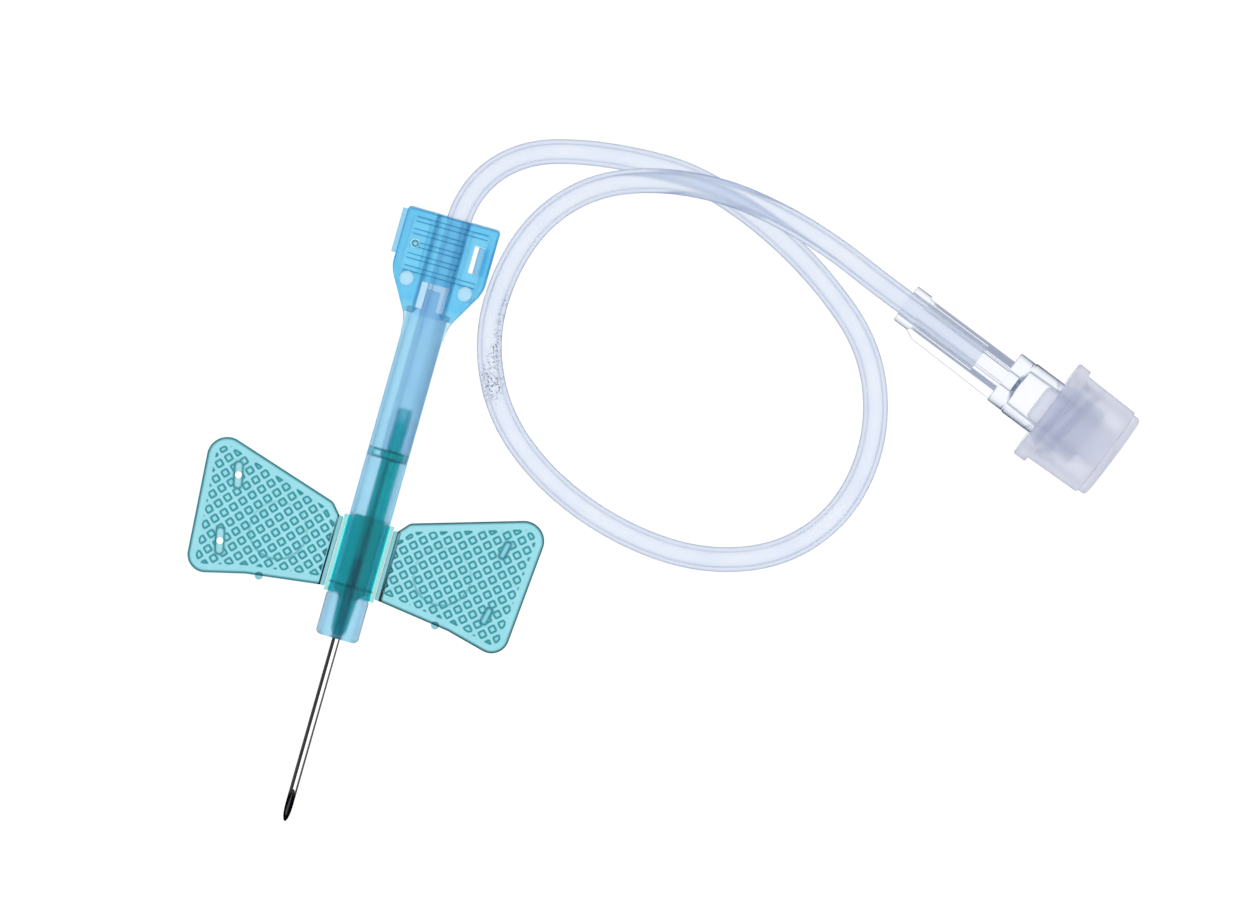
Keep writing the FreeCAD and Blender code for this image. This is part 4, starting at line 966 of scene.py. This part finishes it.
def turned_bar(start, end, profile, around=28):
    """A closed bar: a profile of (share along, radius) turned about the line between two points."""
    start, end = np.array(start, float), np.array(end, float)
    axis = (end - start) / np.linalg.norm(end - start)
    side = np.cross(axis, (0.0, 0.0, 1.0) if abs(axis[2]) < 0.9 else (1.0, 0.0, 0.0))
    side /= np.linalg.norm(side)
    over = np.cross(axis, side)
    turn = np.linspace(0, math.tau, around, endpoint=False)
    ring = np.cos(turn)[:, None] * side + np.sin(turn)[:, None] * over
    profile = np.array(profile)
    centres = start + profile[:, :1] * (end - start)
    points = (centres[:, None] + profile[:, 1][:, None, None] * ring[None]).reshape(-1, 3)
    faces = face_list(grid_faces(len(profile), around, closed_columns=True))
    faces.append(tuple(range(around)))
    faces.append(tuple(reversed(range((len(profile) - 1) * around, len(profile) * around))))
    return points, faces


def rounded_bar(radius, share, narrowed):
    """The profile of a bar that narrows over a share of its length at each end."""
    return (0, narrowed * radius), (share, radius), (1 - share, radius), (1, narrowed * radius)


def outward(thing):
    """Turn every face of a closed mesh outwards."""
    work = bmesh.new()
    work.from_mesh(thing.data)
    bmesh.ops.recalc_face_normals(work, faces=work.faces)
    work.to_mesh(thing.data)
    work.free()


def joined(name, *shapes):
    """One mesh object from several lists of points and faces."""
    points, faces, count = [], [], 0
    for shape_points, shape_faces in shapes:
        points.append(np.asarray(shape_points))
        faces += [tuple(index + count for index in face) for face in shape_faces]
        count += len(shape_points)
    thing = make_object(name, np.concatenate(points), faces)
    outward(thing)
    return thing


def cut_through(thing, cutters):
    """Cut closed bars out of a mesh object and keep the result as its mesh."""
    tool = joined("hole_cutter", *cutters)
    step = thing.modifiers.new("holes", "BOOLEAN")
    step.object = tool
    step.solver = "EXACT"
    graph = bpy.context.evaluated_depsgraph_get()
    mesh = bpy.data.meshes.new_from_object(thing.evaluated_get(graph))
    thing.modifiers.clear()
    old = thing.data
    thing.data = mesh
    bpy.data.meshes.remove(old)
    bpy.data.objects.remove(tool)


def make_wing(sizes, name, side):
    """One wing: its plate, the bead along its fold and its gate stub, in one mesh."""
    plan = wing_plan(sizes)
    flat = plan.reshape(-1, 2)
    height, lines = wing_relief(flat, sizes, side)
    chamfer = 0.12 * MM
    points, faces, painted_rim_points = closed_plate(plan, height.reshape(plan.shape[:2]), -sizes.half, chamfer)
    bead = turned_bar((sizes.fold_out, sizes.front, 0), (sizes.fold_out, sizes.rear, 0),
                      rounded_bar(sizes.bead, 0.02, 0.7))
    gate = turned_bar((sizes.gate_out, sizes.gate_along, -sizes.gate_half),
                      (sizes.gate_out, sizes.gate_along, sizes.gate_half),
                      rounded_bar(sizes.gate_radius, 0.15, 0.85))
    shapes = [(points, faces), bead, gate]
    if side < 0:
        shapes = [(shape_points * (-1, 1, 1), shape_faces) for shape_points, shape_faces in shapes]
    wing = joined(name, *shapes)
    # Painted shade: the relief's lines, the rim's walls in full, the bead and the gate stub in part.
    shade = wing.data.attributes.new("line", "FLOAT", "POINT")
    values = np.zeros(len(wing.data.vertices), np.float32)
    values[:len(lines)] = lines
    values[len(lines):len(lines) + painted_rim_points] = 1.0
    values[len(points):] = BAR_PAINTED_SHADE
    shade.data.foreach_set("value", values)
    if side < 0:
        bars = []
        for along in (sizes.peg_front, sizes.peg_rear):
            bars.append(turned_bar((-sizes.peg_out, along, -2 * sizes.half),
                                   (-sizes.peg_out, along, 2 * sizes.half),
                                   ((0, sizes.hole / 2), (1, sizes.hole / 2))))
        cut_through(wing, bars)
    wing.data.shade_smooth()
    wing.data.set_sharp_from_angle(angle=math.radians(50))
    return wing


class NEEDLESET_OT_make_wings(Operator):
    """Make both wings with their pads, and the pegs of one and the slots of the other"""

    bl_idname = "needle_set.make_wings"
    bl_label = "Wings"

    def execute(self, context):
        sizes = context.scene.wing_sizes
        finish = wing_finish(context.scene.plastic_colours)
        for side, word in ((1, "right"), (-1, "left")):
            wing = make_wing(sizes, word + "_wing_moulding", side)
            dress(wing, word + "_wing", finish)
            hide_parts("wing_" + word)
        return {"FINISHED"}


# Packed pieces

def sharpen_bevel(needle):
    """Keep the needle's round wall apart from its ground faces in the shading: an edge is sharp where the
    face on one side looks along the needle and the face on the other side doesn't."""
    least_lean = 0.03
    work = bmesh.new()
    work.from_mesh(needle.data)
    for edge in work.edges:
        leaning = [abs(face.normal.y) > least_lean for face in edge.link_faces]
        edge.smooth = edge.smooth and (all(leaning) or not any(leaning))
    work.to_mesh(needle.data)
    work.free()


class NEEDLESET_OT_finish_needle(Operator):
    """Give the steel needle its drawn finish"""

    bl_idname = "needle_set.finish_needle"
    bl_label = "Needle"

    def execute(self, context):
        needle = smooth_copy("needle", "needle_tube")
        sharpen_bevel(needle)
        dress(needle, "needle_set", steel_finish())
        return {"FINISHED"}


class NEEDLESET_OT_finish_hub(Operator):
    """Give the hub its dark translucent teal"""

    bl_idname = "needle_set.finish_hub"
    bl_label = "Hub"

    def execute(self, context):
        finish = hub_finish(context.scene.plastic_colours)
        dress(smooth_copy("hub", "hub_moulding", edge=0.04 * MM), "needle_set", finish)
        return {"FINISHED"}


class NEEDLESET_OT_finish_sheath(Operator):
    """Give the sheath and the cover of its grip their translucent blues"""

    bl_idname = "needle_set.finish_sheath"
    bl_label = "Sheath and grip"

    def execute(self, context):
        colours = context.scene.plastic_colours
        sheath = smooth_copy("sheath", "sheath_moulding", edge=0.05 * MM)
        dress(sheath, "safety_sheath", sheath_finish(colours))
        cover = smooth_copy("grip_cover", "cover_moulding", edge=0.06 * MM)
        dress(cover, "safety_sheath", cover_finish(colours))
        return {"FINISHED"}


class NEEDLESET_OT_finish_connector(Operator):
    """Give the connector its clear plastic"""

    bl_idname = "needle_set.finish_connector"
    bl_label = "Connector"

    def execute(self, context):
        connector = smooth_copy("connector", "connector_moulding", edge=0.06 * MM)
        dress(connector, "needle_set", connector_finish(context.scene.plastic_colours))
        return {"FINISHED"}


def thread_ridge(sizes, phase, steps=90):
    """One start of the cap's thread: a three-sided ridge carried along a helix on the inside of the skirt.
    The height of the ridge rises and falls at its ends."""
    share = np.linspace(0, 1, steps)
    turn = phase + share * sizes.turns * math.tau
    run_out = 0.08
    swell = ease(np.minimum(share, 1 - share) / run_out)
    along = sizes.start + share * sizes.turns * sizes.pitch
    axis = np.array(CONNECTOR_AXIS)
    side = np.cross(axis, (0.0, 0.0, 1.0))
    over = np.cross(side, axis)
    out = np.cos(turn)[:, None] * side + np.sin(turn)[:, None] * over
    base = np.array(CONNECTOR_MOUTH) + along[:, None] * axis
    sunk = 0.02 * MM
    foot = sizes.radius + sunk
    crest = sizes.radius - sizes.height * swell
    half = sizes.width / 2 * axis
    rows = np.stack([base + out * foot - half, base + out * crest[:, None], base + out * foot + half], 1)
    points = rows.reshape(-1, 3)
    faces = face_list(grid_faces(steps, 3, closed_columns=True))
    faces += [(0, 1, 2), tuple(3 * (steps - 1) + corner for corner in (2, 1, 0))]
    return points, faces


class NEEDLESET_OT_finish_cap(Operator):
    """Give the cap its frosted plastic and the two-start thread inside its skirt"""

    bl_idname = "needle_set.finish_cap"
    bl_label = "Cap"

    def execute(self, context):
        colours = context.scene.plastic_colours
        cap = smooth_copy("connector_cap", "cap_moulding", edge=0.08 * MM)
        dress(cap, "cap", cap_finish(colours, "frosted_cap_plastic", ior=1.13))
        sizes = context.scene.thread_sizes
        phase = 0.6
        ridges = [thread_ridge(sizes, phase), thread_ridge(sizes, phase + math.pi)]
        thread = joined("cap_thread", *ridges)
        dress(thread, "cap", cap_finish(colours, "frosted_thread_plastic", ior=1.03))
        return {"FINISHED"}


# Stage

def choose(tree, question, yes, no):
    """One of two numbers or sockets, by a light path question."""
    return add_node(tree, "ShaderNodeMix", {"Factor": question, "A": no, "B": yes}).outputs["Result"]


def floor_finish(sizes):
    """A pale light table. Its film sends the light straight up, so what shines through a clear piece
    darkens where the piece bends it away from upright."""
    material, tree, shader, output = new_finish("pale_table")
    path = tree.nodes.new("ShaderNodeLightPath")
    slant = add_node(tree, "ShaderNodeLayerWeight", {"Blend": 0.5}).outputs["Facing"]
    film = map_range(tree, slant, sizes.film_full, sizes.film_none, sizes.glow, sizes.film_floor)
    mirrored = choose(tree, path.outputs["Is Glossy Ray"], sizes.bounce, sizes.glow)
    tint = map_range(tree, slant, sizes.film_full, sizes.film_none, 0.0, 1.0)
    slanted = choose(tree, path.outputs["Is Transmission Ray"], tint, 0.0)
    fill(tree, shader, {
        "Emission Strength": choose(tree, path.outputs["Is Transmission Ray"], film, mirrored),
        "Emission Color": mix_colours(tree, slanted, WHITE, (*sizes.film_tint, 1)),
        "Base Color": (0.1, 0.1, 0.1, 1),
        "Roughness": 0.9,
        "Specular IOR Level": 0.0,
    })
    return material


def make_floor(sizes):
    """A flat disc under the part, with an inner ring of points to keep its faces even."""
    around, gap = 64, 0.005 * MM
    reach = np.array([0.1, 1.0]) * sizes.floor_radius
    turn = np.linspace(0, math.tau, around, endpoint=False)
    circle = np.stack([np.cos(turn), np.sin(turn)], 1)
    flat = (reach[:, None, None] * circle[None]).reshape(-1, 2) + (sizes.centre_x, sizes.centre_y)
    points = np.c_[flat, np.full(len(flat), FLOOR - gap)]
    faces = face_list(grid_faces(2, around, closed_columns=True))
    faces.append(tuple(range(around)))
    floor = make_object("table", points, faces, smooth=False)
    outward(floor)
    if floor.data.polygons[-1].normal.z < 0:
        floor.data.flip_normals()
    floor.data.materials.append(floor_finish(sizes))


def make_sky(scene, sizes):
    """A wide soft light straight above with dark surroundings, before a pale backdrop."""
    sky = bpy.data.worlds.new("soft_sky")
    sky.use_nodes = True
    tree = sky.node_tree
    view = tree.nodes.new("ShaderNodeTexCoord").outputs["Generated"]
    path = tree.nodes.new("ShaderNodeLightPath")
    shape = add_node(tree, "ShaderNodeMapping", {
        "Vector": view,
        "Location": (math.sin(sizes.sky_lean), math.sin(sizes.sky_back), 0),
        "Scale": (math.sin(sizes.sky_across), math.sin(sizes.sky_along), 9),
    }, vector_type="TEXTURE")
    away = add_node(tree, "ShaderNodeVectorMath", {0: shape.outputs["Vector"]}, operation="LENGTH")
    edge_start, edge_end = 0.75, 1.25
    above = map_range(tree, away.outputs["Value"], edge_start, edge_end, sizes.sky, sizes.horizon)
    light = choose(tree, path.outputs["Is Camera Ray"], sizes.backdrop, above)
    through = path.outputs["Is Transmission Ray"]
    fill(tree, tree.nodes["Background"], {
        "Color": mix_colours(tree, through, WHITE, (*sizes.haze, 1)),
        "Strength": choose(tree, through, 1.0, light),
    })
    scene.world = sky


def soft_box(name, azimuth, elevation, distance, size, power):
    """A square light aimed at the part."""
    light = bpy.data.lights.new(name, "AREA")
    light.shape = "RECTANGLE"
    light.size, light.size_y = size
    light.energy = power
    thing = place(name, light)
    way = Vector((math.cos(azimuth) * math.cos(elevation), math.sin(azimuth) * math.cos(elevation),
                  math.sin(elevation)))
    aim = Vector((0.02, 0.02, 0))
    thing.location = aim + way * distance
    thing.rotation_euler = way.to_track_quat("Z", "Y").to_euler()


def make_camera(scene, sizes):
    """A long lens straight above, rolled as the part lies in the picture."""
    camera = bpy.data.cameras.new("camera")
    camera.lens = sizes.lens * 1000
    camera.sensor_width = 36
    distance = sizes.width / 2 / (camera.sensor_width / 2 / camera.lens)
    camera.clip_start, camera.clip_end = 0.01, 10
    thing = place("camera", camera)
    thing.location = (sizes.centre_x, sizes.centre_y, sizes.centre_z + distance)
    thing.rotation_euler = (0, 0, sizes.roll)
    scene.camera = thing


class NEEDLESET_OT_set_stage(Operator):
    """Set the camera, the pale table and the soft light"""

    bl_idname = "needle_set.set_stage"
    bl_label = "Stage"

    def execute(self, context):
        scene = context.scene
        sizes = scene.stage_sizes
        make_camera(scene, sizes)
        make_floor(sizes)
        make_sky(scene, sizes)
        soft_box("left_box", azimuth=math.radians(150), elevation=math.radians(50), distance=0.9,
                 size=(0.5, 0.4), power=0.8)
        scene.view_settings.view_transform = "Standard"
        scene.cycles.max_bounces = 24
        scene.cycles.transmission_bounces = 24
        scene.cycles.glossy_bounces = 6
        return {"FINISHED"}


SETTINGS = {
    "plastic_colours": PlasticColours,
    "tube_sizes": TubeSizes,
    "wing_sizes": WingSizes,
    "thread_sizes": ThreadSizes,
    "stage_sizes": StageSizes,
}
STEPS = [
    NEEDLESET_OT_set_stage,
    NEEDLESET_OT_finish_connector,
    NEEDLESET_OT_finish_cap,
    NEEDLESET_OT_lay_tube,
    NEEDLESET_OT_finish_needle,
    NEEDLESET_OT_finish_hub,
    NEEDLESET_OT_finish_sheath,
    NEEDLESET_OT_make_wings,
]


class NEEDLESET_PT_panel(Panel):
    """The steps and the settings of the needle set"""

    bl_idname = "NEEDLESET_PT_panel"
    bl_label = "Needle Set"
    bl_space_type = "VIEW_3D"
    bl_region_type = "UI"
    bl_category = "Needle Set"

    def draw(self, context):
        layout = self.layout
        for step in STEPS:
            layout.operator(step.bl_idname)
        for name, group in SETTINGS.items():
            column = layout.column(align=True)
            column.label(text=group.__doc__)
            for setting in group.__annotations__:
                column.prop(getattr(context.scene, name), setting)


def register():
    for name, group in SETTINGS.items():
        bpy.utils.register_class(group)
        setattr(bpy.types.Scene, name, PointerProperty(type=group))
    for thing in (*STEPS, NEEDLESET_PT_panel):
        bpy.utils.register_class(thing)


def unregister():
    for thing in (NEEDLESET_PT_panel, *reversed(STEPS)):
        bpy.utils.unregister_class(thing)
    for name, group in reversed(SETTINGS.items()):
        delattr(bpy.types.Scene, name)
        bpy.utils.unregister_class(group)


def main():
    """Register and run every step in order."""
    register()
    for step in STEPS:
        group, name = step.bl_idname.split(".")
        getattr(getattr(bpy.ops, group), name)()


if __name__ == "__main__":
    main()
